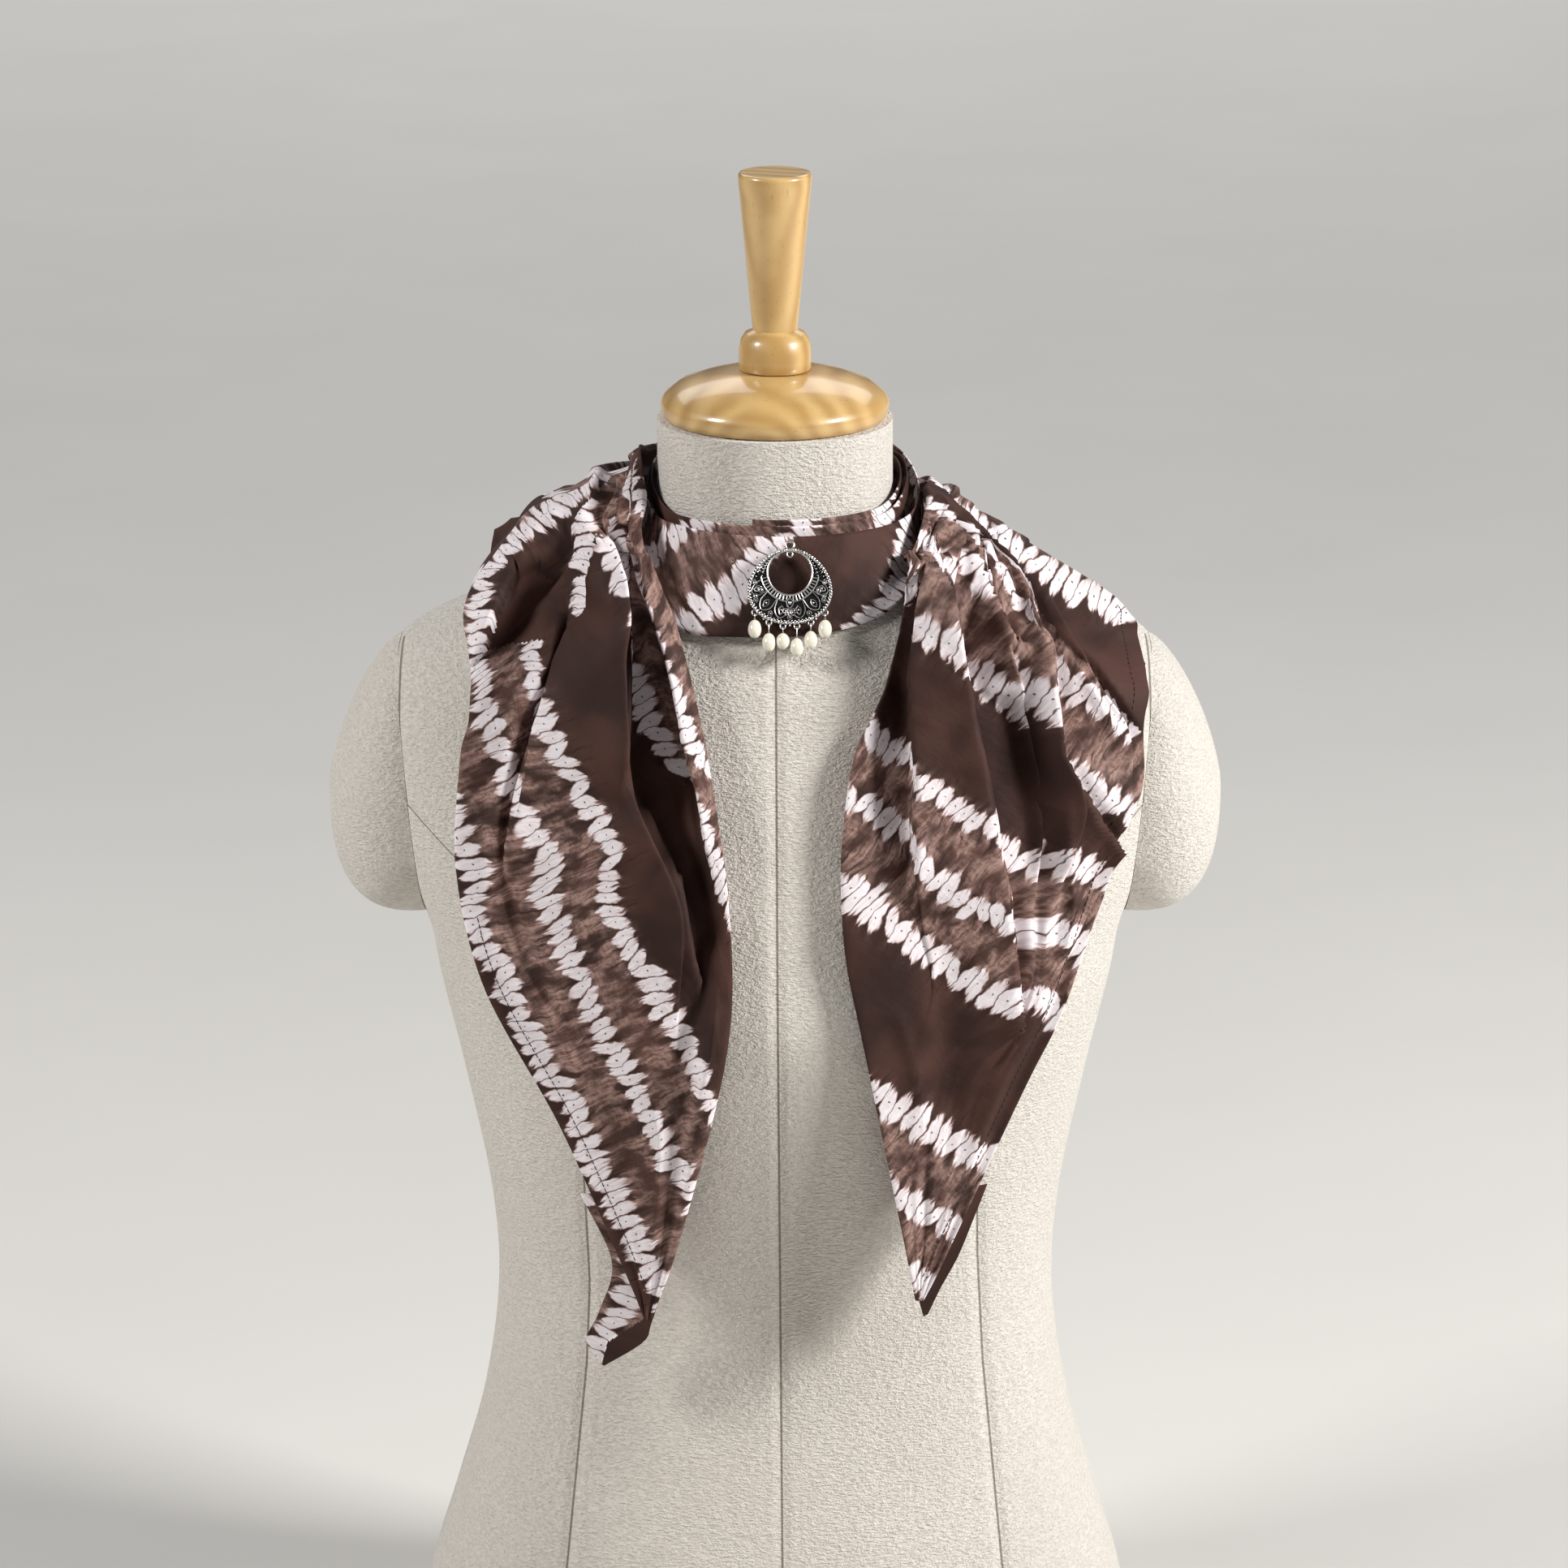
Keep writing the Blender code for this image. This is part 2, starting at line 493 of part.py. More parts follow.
def lay_sections(sections, places, heights):
    """Points of the cloth's middle, a row for each section and a column for each fold."""
    rows = []
    for place, outer, inner in sections:
        share = np.array(places[place])[:, None]
        height = np.array(heights[place], float) * FOLD_DEPTH
        near = np.array([outer[0], outer[1] or 0, outer[2]], float)
        far = np.array([inner[0], inner[1] or 0, inner[2]], float)
        row = near + (far - near) * share
        if outer[1] is None:
            row = lay_on_front(row, TAIL_LIFT + height)
            if inner[1] is not None:
                row[:, 1] += (far[1] - row[:, 1]) * share[:, 0] ** 3
        else:
            normal = distance_and_normal(row, FORM_TABLE)[1]
            row += normal * height[:, None]
        rows.append(row)
    grid = smooth_through(np.array(rows), STEPS_ALONG)
    grid = smooth_through(grid.transpose(1, 0, 2), STEPS_ACROSS).transpose(1, 0, 2)
    return grid


def keep_off(grid, side_lift, nape_lift):
    """Keeps a tail clear of the form, of the band and rolls round the neck and of the other tail."""
    high = smooth_step((grid[..., 2] - NECK_LOW) / NECK_RISE)
    near_neck = high * (1 - smooth_step((np.hypot(grid[..., 0], grid[..., 1]) - NECK_REACH) / NECK_FADE))
    behind = high * smooth_step((grid[..., 1] - NAPE_START) / NAPE_FADE)
    neck_lift = side_lift + (nape_lift - side_lift) * behind
    clearance = CHEST_CLEAR + (neck_lift - CHEST_CLEAR) * np.maximum(near_neck, behind)
    return push_clear(grid, clearance, FORM_TABLE, PUSH_SOFTNESS)


def cloth_wall(name, grid, wall, finish, group, flip=False):
    rows, columns = grid.shape[:2]
    faces = grid_faces(rows, columns)
    if flip:
        faces = [tuple(reversed(face)) for face in faces]
    mesh = mesh_from_points(name, grid.reshape(-1, 3), faces)
    piece = add_object(name, mesh, finish, group, 60)
    thicken = piece.modifiers.new("Wall", "SOLIDIFY")
    thicken.thickness = wall * MM
    thicken.offset = 0.0
    return piece


def build_tail(name, sections, places, heights, lifts, finish, group, flip):
    grid = keep_off(lay_sections(sections, places, heights), *lifts)
    return cloth_wall(name, grid, CLOTH_WALL, finish, group, flip)


def build_under(name, rows, finish, group, flip):
    corners = np.array([[(x, 0, z) for x, z in row] for row in rows], float)
    grid = smooth_through(corners, 2)
    share = np.linspace(0, 1, UNDER_COLUMNS)[None, :, None]
    grid = grid[:, :1] + (grid[:, 1:2] - grid[:, :1]) * share
    grid = lay_on_front(grid, SECOND_LAYER_LIFT)
    return cloth_wall(name, grid, CLOTH_WALL, finish, group, flip)


def band_grid():
    rows = []
    share = np.linspace(0, 1, BAND_STEPS_DOWN + 1)[:, None]
    for turn, top_radius, top, low_radius, low in smooth_through(BAND_SECTIONS, BAND_STEPS_ROUND):
        sine, cosine = math.sin(math.radians(turn)), math.cos(math.radians(turn))
        upper = np.array([BAND_CENTRE_X + top_radius * sine, -top_radius * cosine, top])
        lower = np.array([BAND_CENTRE_X + low_radius * sine, -low_radius * cosine, low])
        rows.append(upper + (lower - upper) * share)
    return push_clear(np.array(rows), BAND_CLEAR, FORM_TABLE, BAND_SOFTNESS)


def neck_layer_grid(middle_x, radius, height, rise, drop, first_turn):
    """A layer of cloth that shows between the neck and the throat band."""
    rows = []
    for step in range(LAYER_STEPS + 1):
        degrees = first_turn + (LAYER_LAST_TURN - first_turn) * step / LAYER_STEPS
        turn = math.radians(degrees)
        top = height + rise * smooth_step((abs(degrees) - LAYER_LIFT_START) / LAYER_LIFT_SPAN)
        top -= LAYER_DIVE * smooth_step((degrees - LAYER_DIVE_START) / LAYER_DIVE_SPAN)
        row = []
        for down, out in LAYER_LEAN:
            row.append((middle_x + (radius + out) * math.sin(turn), -(radius + out) * math.cos(turn),
                        top - drop * down))
        rows.append(row)
    return np.array(rows)


# Brooch

def brooch_frame():
    """Turns the brooch's own flat frame, with +Z out of its face, into the leaning one on the band."""
    across = Vector((1, 0, 0))
    up = Vector((0, math.sin(BROOCH_LEAN), math.cos(BROOCH_LEAN)))
    out = across.cross(up)
    turn = Matrix((across, up, out)).transposed().to_4x4()
    return Matrix.Translation(Vector(BROOCH_MIDDLE) * MM) @ turn


def outline_point(angle):
    width = BROOCH_HALF_WIDTH * (1 - BROOCH_BELLY * math.sin(angle))
    return Vector((width * math.cos(angle), BROOCH_HALF_HEIGHT * math.sin(angle), 0))


def flat_plate(name, loops, thick):
    curve = bpy.data.curves.new(name, "CURVE")
    curve.dimensions = "2D"
    curve.fill_mode = "BOTH"
    curve.extrude = thick / 2 * MM
    for loop in loops:
        line = curve.splines.new("POLY")
        line.points.add(len(loop) - 1)
        line.use_cyclic_u = True
        for point, place in zip(line.points, loop):
            point.co = (place[0] * MM, place[1] * MM, 0, 1)
    holder = bpy.data.objects.new(name + "_outline", curve)
    bpy.context.scene.collection.objects.link(holder)
    bpy.context.view_layer.update()
    evaluated = holder.evaluated_get(bpy.context.evaluated_depsgraph_get())
    mesh = bpy.data.meshes.new_from_object(evaluated)
    bpy.data.objects.remove(holder, do_unlink=True)
    welded = bmesh.new()
    welded.from_mesh(mesh)
    bmesh.ops.remove_doubles(welded, verts=welded.verts[:], dist=1e-5)
    bmesh.ops.recalc_face_normals(welded, faces=welded.faces[:])
    welded.to_mesh(mesh)
    welded.free()
    return mesh


def ring_mesh(name, radius, wire, around=16, section=8):
    bpy.ops.mesh.primitive_torus_add(major_radius=radius * MM, minor_radius=wire * MM,
                                     major_segments=around, minor_segments=section)
    ring = bpy.context.active_object
    mesh = ring.data.copy()
    bpy.data.objects.remove(ring, do_unlink=True)
    mesh.name = name
    return mesh


def join_pieces(body, tools, cutters):
    """Joins closed shapes to a body, each by a Boolean union whose cutter stays hidden."""
    for index, (mesh, matrix) in enumerate(tools):
        cutter = bpy.data.objects.new(f"{body.name}_add_{index}", mesh)
        cutter.matrix_world = matrix
        cutter.hide_render = True
        cutter.display_type = "WIRE"
        cutters.objects.link(cutter)
        union = body.modifiers.new(f"Join_{index}", "BOOLEAN")
        union.operation = "UNION"
        union.solver = "EXACT"
        union.object = cutter


def lug_places():
    """Middle of each lug on the plate's lower edge, in the brooch's flat frame."""
    places = []
    for across, _ in PEARLS:
        low, high = -math.pi, 0.0
        angle = -math.pi / 2
        for _ in range(40):
            angle = (low + high) / 2
            if outline_point(angle).x < across:
                low = angle
            else:
                high = angle
        places.append(outline_point(angle) - Vector((0, LUG_RADIUS - LUG_WIRE, 0)))
    return places


def build_brooch(finish, group, cutters):
    outline = [outline_point(2 * math.pi * i / 40) for i in range(40)]
    hole = [Vector((HOLE_RADIUS * math.cos(2 * math.pi * i / 28),
                    HOLE_RISE + HOLE_RADIUS * math.sin(2 * math.pi * i / 28), 0)) for i in range(28)]
    frame = brooch_frame()
    plate = add_object("brooch_plate", flat_plate("brooch_plate", [outline, hole], BROOCH_THICK), finish, group)
    plate.matrix_world = frame
    tools = []
    for index, place in enumerate(lug_places()):
        ring = ring_mesh(f"lug_{index}", LUG_RADIUS, LUG_WIRE, 12, 5)
        tools.append((ring, frame @ Matrix.Translation(place * MM)))
    top = Vector((0, BROOCH_HALF_HEIGHT + TOP_RING_RADIUS - 0.5, 0))
    tools.append((ring_mesh("top_ring", TOP_RING_RADIUS, TOP_RING_WIRE, 16, 6),
                  frame @ Matrix.Translation(top * MM)))
    bpy.ops.mesh.primitive_cylinder_add(vertices=8, radius=PIN_RADIUS * MM, depth=2 * PIN_HALF_LENGTH * MM)
    pin = bpy.context.active_object
    pin_mesh = pin.data.copy()
    bpy.data.objects.remove(pin, do_unlink=True)
    level = Vector((0, PIN_LEVEL, -PIN_BACK)) * MM
    tools.append((pin_mesh, frame @ Matrix.Translation(level) @ Matrix.Rotation(math.pi / 2, 4, "Y")))
    for side in (-1, 1):
        bpy.ops.mesh.primitive_cube_add(size=1)
        post = bpy.context.active_object
        post_mesh = post.data.copy()
        bpy.data.objects.remove(post, do_unlink=True)
        size = Matrix.Diagonal((PIN_POST * MM, PIN_POST * MM, PIN_BACK * MM, 1))
        place = Vector((side * (PIN_HALF_LENGTH - PIN_OVERHANG), PIN_LEVEL, -PIN_BACK / 2 - 0.3)) * MM
        post_mesh.transform(size)
        tools.append((post_mesh, frame @ Matrix.Translation(place)))
    join_pieces(plate, tools, cutters)
    return plate


def hinge_point(place):
    """Middle of the lug's lowest wire, in world millimetres: the drop swings about it."""
    low = brooch_frame() @ ((place + Vector((0, -LUG_RADIUS, 0))) * MM)
    return low / MM


def build_drop(name, place, extra, finish, group, cutters):
    """A pearl on its wire eye, hanging from a lug, with its origin on the lug's wire."""
    hinge = hinge_point(place)
    reach = EYE_DROP + EYE_RADIUS + extra
    length = PEARL_HALF_HEIGHT
    top = -(reach + 0.2)
    profile = [(0, top + 0.9), (0.45, top + 0.9), (0.5, top)]
    for step in range(1, PEARL_RINGS):
        angle = math.pi * step / PEARL_RINGS
        profile.append((PEARL_HALF_WIDTH * math.sin(angle) ** 0.86,
                        top - length + length * math.cos(angle)))
    profile.append((0, top - 2 * length))
    mesh = bpy.data.meshes.new(name)
    mesh.from_pydata([(r * MM, 0, h * MM) for r, h in profile],
                     [(i, i + 1) for i in range(len(profile) - 1)], [])
    drop = add_object(name, mesh, finish, group)
    turn = drop.modifiers.new("Turn", "SCREW")
    turn.angle = math.tau
    turn.steps = turn.render_steps = PEARL_SIDES
    turn.use_merge_vertices = True
    turn.merge_threshold = 0.00005
    turn.use_smooth_shade = True
    drop.matrix_world = Matrix.Translation(hinge * MM) @ Matrix.Rotation(-PEARL_LEAN, 4, "X")
    eye = ring_mesh(name + "_eye", EYE_RADIUS, EYE_WIRE, 12, 5)
    eye.transform(Matrix.Rotation(math.pi / 2, 4, "Y"))
    for vertex in eye.vertices:
        if vertex.co.z < 0:
            vertex.co.z -= extra * MM
    hang = Matrix.Translation(Vector((0, 0, -EYE_DROP)) * MM)
    join_pieces(drop, [(eye, drop.matrix_world @ hang)], cutters)
    return drop


def main():
    clear_scene()
    group = make_collection("scarf_with_brooch")
    cutters = make_collection("cutters")
    form_cloth = make_material("form_cloth", (0.60, 0.55, 0.47), 0.85)
    cap_cloth = make_material("arm_cap_cloth", (0.58, 0.53, 0.45), 0.85)
    disc_wood = make_material("disc_wood", (0.67, 0.42, 0.17), 0.32)
    knob_wood = make_material("knob_wood", (0.70, 0.46, 0.20), 0.32)
    dyed_cotton = make_material("dyed_cotton", (0.085, 0.045, 0.038), 0.8)
    pale_cotton = make_material("pale_cotton", (0.45, 0.38, 0.38), 0.8)
    plain_cotton = make_material("plain_cotton", (0.05, 0.026, 0.022), 0.85)
    silver = make_material("dark_silver", (0.35, 0.34, 0.33), 0.35, 1.0)
    pearl = make_material("pearl", (0.85, 0.82, 0.76), 0.25)

    build_torso(form_cloth, group)
    build_arm_cap("arm_cap_left", -1, cap_cloth, group)
    build_arm_cap("arm_cap_right", 1, cap_cloth, group)
    build_turned("neck_disc", NECK_DISC, disc_wood, group)
    build_turned("neck_knob", KNOB, knob_wood, group)
    cloth_wall("scarf_throat_band", band_grid(), BAND_WALL, dyed_cotton, group)
    for name, middle_x, radius, height, rise, drop, first_turn in LAYERS:
        layer = neck_layer_grid(middle_x, radius, height, rise, drop, first_turn)
        cloth_wall(name, layer, LAYER_WALL, pale_cotton, group)
    build_tail("scarf_left_tail", LEFT_SECTIONS, LEFT_PLACES, LEFT_HEIGHTS,
               (LEFT_NECK_LIFT, LEFT_NAPE_LIFT), dyed_cotton, group, True)
    build_tail("scarf_right_tail", RIGHT_SECTIONS, RIGHT_PLACES, RIGHT_HEIGHTS,
               (RIGHT_NECK_LIFT, RIGHT_NAPE_LIFT), dyed_cotton, group, False)
    build_under("scarf_left_under_tip", LEFT_UNDER, plain_cotton, group, True)
    build_under("scarf_right_under_tip", RIGHT_UNDER, plain_cotton, group, False)
    build_brooch(silver, group, cutters)
    for index, (place, (_, extra)) in enumerate(zip(lug_places(), PEARLS)):
        build_drop(f"pearl_drop_{index + 1}", place, extra, pearl, group, cutters)


main()
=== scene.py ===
"""A dyed cotton scarf with a brooch on a dress form, dressed for rendering.

Sizes are in millimetres and are turned into metres when a mesh is made. +Z is up, -Y is the
front, and left and right are the viewer's. The tables and functions of the cloth are those of
the CAD model, read at finer steps.
"""
import math

import bmesh
import bpy
import numpy as np
from mathutils import Matrix, Vector


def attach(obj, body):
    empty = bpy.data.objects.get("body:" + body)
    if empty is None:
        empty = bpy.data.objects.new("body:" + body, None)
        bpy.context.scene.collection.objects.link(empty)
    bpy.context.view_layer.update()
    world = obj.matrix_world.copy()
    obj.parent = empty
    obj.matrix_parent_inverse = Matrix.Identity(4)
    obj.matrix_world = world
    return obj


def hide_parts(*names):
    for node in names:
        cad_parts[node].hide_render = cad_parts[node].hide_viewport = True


MM = 0.001
SEAM_GAP = 0.3
BODY = "scarf_on_form"
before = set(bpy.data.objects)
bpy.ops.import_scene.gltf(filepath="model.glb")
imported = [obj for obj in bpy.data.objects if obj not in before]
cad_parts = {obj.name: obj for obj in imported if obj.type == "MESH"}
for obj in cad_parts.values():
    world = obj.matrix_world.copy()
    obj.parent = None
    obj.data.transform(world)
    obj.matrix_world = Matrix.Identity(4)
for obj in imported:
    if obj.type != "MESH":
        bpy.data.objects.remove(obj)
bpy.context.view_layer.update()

# Camera: 2.5 m away, looking down at 17 degrees on a point at the form's middle line

CAMERA_DISTANCE, CAMERA_PITCH = 2500.0, math.radians(17)
CAMERA_TARGET = (4.1, 0.0, 460.0)
MM_PER_PIXEL, PICTURE_WIDTH, SENSOR = 0.376, 1932, 36.0

# Lights: place, aim and size in metres, and power in watts
LIGHTS = {
    "left_softbox": ((-2.4, -1.0, 2.2), (0, 0, 0.42), (0.7, 0.7), 70, (1.0, 0.99, 0.97)),
    "right_softbox": ((2.5, -1.0, 1.9), (0, 0, 0.4), (0.7, 0.7), 132, (1.0, 0.99, 0.97)),
    "background": ((0, 6.5, 4.5), (0, 6.5, 0), (9, 5), 300, (1.0, 1.0, 1.0)),
}
AIR_COLOUR, AIR_STRENGTH = (0.9, 0.93, 1.0, 1.0), 0.06
FLOOR_CORNERS = ((-9000, -5000, 0), (9000, -5000, 0), (9000, 16000, 0), (-9000, 16000, 0))

# Dress form: height, half width, depth to the front, depth to the back and squareness

FORM_SECTIONS = (
    (0, 176, 120, 131.48, 2.25),
    (60, 167.5, 115, 122.5, 2.25),
    (110, 153, 107, 106, 2.25),
    (160, 139, 99, 92, 2.2),
    (215, 131.5, 95, 84, 2.2),
    (265, 134, 100, 88, 2.2),
    (325, 145, 113, 97, 2.25),
    (375, 156, 122, 105, 2.3),
    (402, 161, 120, 108, 2.35),
    (435, 174, 113, 108, 2.4),
    (470, 184, 103, 104, 2.45),
    (505, 186, 92, 98, 2.45),
    (530, 172.5, 84, 92, 2.4),
    (545, 145, 77, 86, 2.3),
    (560, 110, 70, 78, 2.2),
    (572, 79, 63, 69, 2.1),
    (582, 61, 57, 61, 2.05),
    (592, 54.8, 54.6, 56, 2.0),
    (605, 53.7, 53.7, 54, 2.0),
    (634.5, 53.5, 53.5, 53.5, 2.0),
)
FORM_SIDES, FORM_STEPS = 144, 8
ARMHOLE_LOW, ARMHOLE_HIGH, ARMHOLE_MIDDLE = 402, 530, 466
ARMHOLE_LOW_X, ARMHOLE_HIGH_X = 161, 172
ARMHOLE_CUT_LOW = 380
CAP_REACH = 206
CAP_RINGS, CAP_SIDES = 30, 96
CAP_ROUNDNESS, CAP_TOP_SLACK = 2.1, 0.65

# Seams of the cover: height and place across
SEAM_TOP, NO_SEAM = 585, 99.0
CENTRE_SEAM = ((0, 5), (107, 3.4), (400, 1.2), (640, 0))
LEFT_PRINCESS_SEAM = (
    (0, -110), (107, -97), (202, -87.4), (243, -85.5), (306, -87.4), (380, -98), (430, -122), (470, -170),
)
RIGHT_PRINCESS_SEAM = (
    (0, 118), (107, 105.8), (202, 96.4), (258, 93.2), (290, 92.5), (380, 102), (430, 125), (470, 170),
)

# Turned wood, radius and height from the middle of the top down

NECK_DISC = (
    (0, 656.3), (16, 656.3), (17, 656.2), (24, 655.4), (34, 653.1), (44, 649.6), (50, 645),
    (51.6, 642.6), (52, 641), (51.6, 637.8), (51, 636.2), (49.8, 635), (48.5, 635), (0, 635),
)
KNOB = (
    (0, 746.6), (15, 746.6), (15.8, 746.4), (16.5, 745.6), (16.6, 744.5), (16.5, 742), (13.4, 709),
    (10.3, 676.2), (10.4, 675.2), (11.2, 674.5), (13.4, 673.6), (15.6, 670.3), (16.4, 665.5),
    (16.5, 661.5), (16.4, 657.4),
    (15.9, 656.7), (0, 656.7),
)
TURNED_STEPS = 96

# Scarf

CLOTH_THICK = 0.7
FOLD_DEPTH = 1.3
DRAPE_SLACK = 0.86
# How far the cloth lies off the form: a tail on the chest, beside the neck and at the nape, and
# the second thickness at the tips
TAIL_LIFT, CHEST_CLEAR, SECOND_LAYER_LIFT = 4.4, 2.2, 1.6
LEFT_NECK_LIFT, RIGHT_NECK_LIFT = 8.0, 13.6
LEFT_NAPE_LIFT, RIGHT_NAPE_LIFT = 15.0, 1.0
# Where the neck's and the nape's lifts begin, and over what length they grow
NECK_REACH, NECK_FADE = 88.0, 44.0
NECK_LOW, NECK_RISE = 530.0, 24.0
NAPE_START, NAPE_FADE = 30.0, 28.0
PUSH_SOFTNESS, PUSH_ROUNDS = 0.8, 6
FRONT_START, FRONT_STRIDE, FRONT_ROUNDS = -60.0, 4, 60
STEPS_ACROSS, STEPS_ALONG = 16, 12

# Each row is a section across the cloth, from the nape over the shoulder to the tip: its name,
# outer edge and inner edge, then for each column its share of the way from the outer to the inner
# edge, and its height. An edge without a depth lays the section on the form's front.
# Left columns: hem turn, edge, valley 1, soft ridge, valley 2, pleat edge, pleat front, pleat back,
# recess, strip crease, inner edge, inner turn
LEFT_SECTIONS = (
    ("start", (63, 41, 582), (59, 38, 597),
     (0.03, 0, 0.1, 0.22, 0.34, 0.46, 0.58, 0.56, 0.68, 0.84, 1, 0.96),
     (0, 0.6, 0, 0.8, 0, 0.8, 1, 0.5, 0, 0.8, 0.6, 0)),
    ("tuck", (51, 56, 598), (46.5, 50.5, 612),
     (0.03, 0, 0.1, 0.22, 0.34, 0.46, 0.58, 0.56, 0.68, 0.84, 1, 0.96),
     (0, 1, 0, 1.5, 0, 1.5, 2, 1, 0, 1.5, 1, 0)),
    ("crossing", (30, 82, 592), (26, 66, 613),
     (0.03, 0, 0.1, 0.22, 0.34, 0.46, 0.6, 0.56, 0.68, 0.84, 1, 0.96),
     (0, 2, 0, 2.5, 0, 3, 4, 2, 0, 3, 3, 0)),
    ("nape", (-6, 90, 572), (-3, 72, 608),
     (0.03, 0, 0.1, 0.22, 0.34, 0.46, 0.6, 0.56, 0.68, 0.84, 1, 0.96),
     (0, 2, 0, 3, 0, 3, 5, 2, 0, 3, 3, 0)),
    ("back", (-72, 92, 553), (-40, 56, 610),
     (0.04, 0, 0.12, 0.26, 0.4, 0.54, 0.68, 0.63, 0.74, 0.87, 1, 0.96),
     (0, 3, 0, 5, 0, 5, 7, 2, 0, 5, 3, 0)),
    ("behind", (-124, 58, 553), (-57, 26, 614),
     (0.05, 0, 0.16, 0.34, 0.52, 0.68, 0.79, 0.75, 0.84, 0.92, 1, 0.97),
     (-2, 2, 4, 8, 4, 6, 8, 2, -2, 4, 3, -1)),
    ("crest", (-139, 0, 549), (-57, -4, 621),
     (0.05, 0, 0.22, 0.4, 0.58, 0.75, 0.84, 0.81, 0.88, 0.94, 1, 0.97),
     (-4, 0, 6, 10, 7, 6, 8, 1, -3, 3, 1, -3)),
    ("fold edge", (-136, -58, 537), (-61, -16, 611),
     (0.06, 0, 0.22, 0.4, 0.57, 0.74, 0.83, 0.79, 0.88, 0.94, 1, 0.97),
     (-3, 2, 8, 9, 7, 7, 8, 1, -4, 3, 0, -4)),
    ("fold foot", (-135, -62, 533), (-61, -24, 606),
     (0.06, 0, 0.24, 0.4, 0.57, 0.73, 0.84, 0.78, 0.89, 0.94, 1, 0.97),
     (-3, 1, 0, 3, 0, 6, 8, 1, -5, 3, 0, -4)),
    ("collar", (-135, None, 524), (-57, -48, 588),
     (0.06, 0, 0.32, 0.46, 0.59, 0.72, 0.86, 0.79, 0.9, 0.95, 1, 0.96),
     (-1, 3, 1, 5, 1, 7, 11, 2, -4, 4, 2, -2)),
    ("high chest", (-136, None, 512), (-50, None, 571),
     (0.06, 0, 0.26, 0.36, 0.44, 0.54, 0.83, 0.75, 0.88, 0.94, 1, 0.95),
     (-1, 3, 1, 5, 1, 7, 12.5, 2, -2, 6, 3, -1)),
    ("armpit", (-140, None, 495), (-42, None, 553),
     (0.05, 0, 0.2, 0.26, 0.32, 0.4, 0.745, 0.69, 0.86, 0.935, 1, 0.95),
     (-1, 3, 1, 4, 1, 6.5, 13, 2, -2, 7, 4, 0)),
    ("chest", (-143, None, 449), (-30, None, 505),
     (0.05, 0, 0.11, 0.16, 0.2, 0.26, 0.7, 0.64, 0.8, 0.93, 1, 0.95),
     (-1, 3, 1, 3, 1, 5, 11.5, 3, -2, 5, 4, 0)),
    ("hem corner", (-131, None, 398), (-21, None, 444),
     (0.04, 0, 0.1, 0.16, 0.22, 0.32, 0.79, 0.75, 0.86, 0.94, 1, 0.95),
     (-1, 2, 0, 2, 1, 4, 6, 2.5, 0, 4, 3.5, 0)),
    ("bust", (-97, None, 335), (-21, None, 378),
     (0.05, 0, 0.12, 0.22, 0.32, 0.44, 0.64, 0.72, 0.8, 0.9, 1, 0.94),
     (-1.5, 1.5, 0, 1.5, 2, 3, 2, 1, 1, 4, 2.5, -1)),
    ("low", (-68, None, 266), (-42, None, 287),
     (0.08, 0, 0.14, 0.24, 0.34, 0.44, 0.6, 0.7, 0.8, 0.9, 1, 0.92),
     (-1, 1.5, 0.5, 1.5, 2, 2.5, 2, 1, 1.5, 3.5, 2, -1)),
    ("tip", (-59, None, 243), (-56, None, 243.5),
     (0.1, 0, 0.14, 0.24, 0.34, 0.44, 0.6, 0.7, 0.8, 0.9, 1, 0.9),
     (-1, 1, 0.5, 1, 1.2, 1.2, 1, 1, 1, 1, 1, -1)),
)
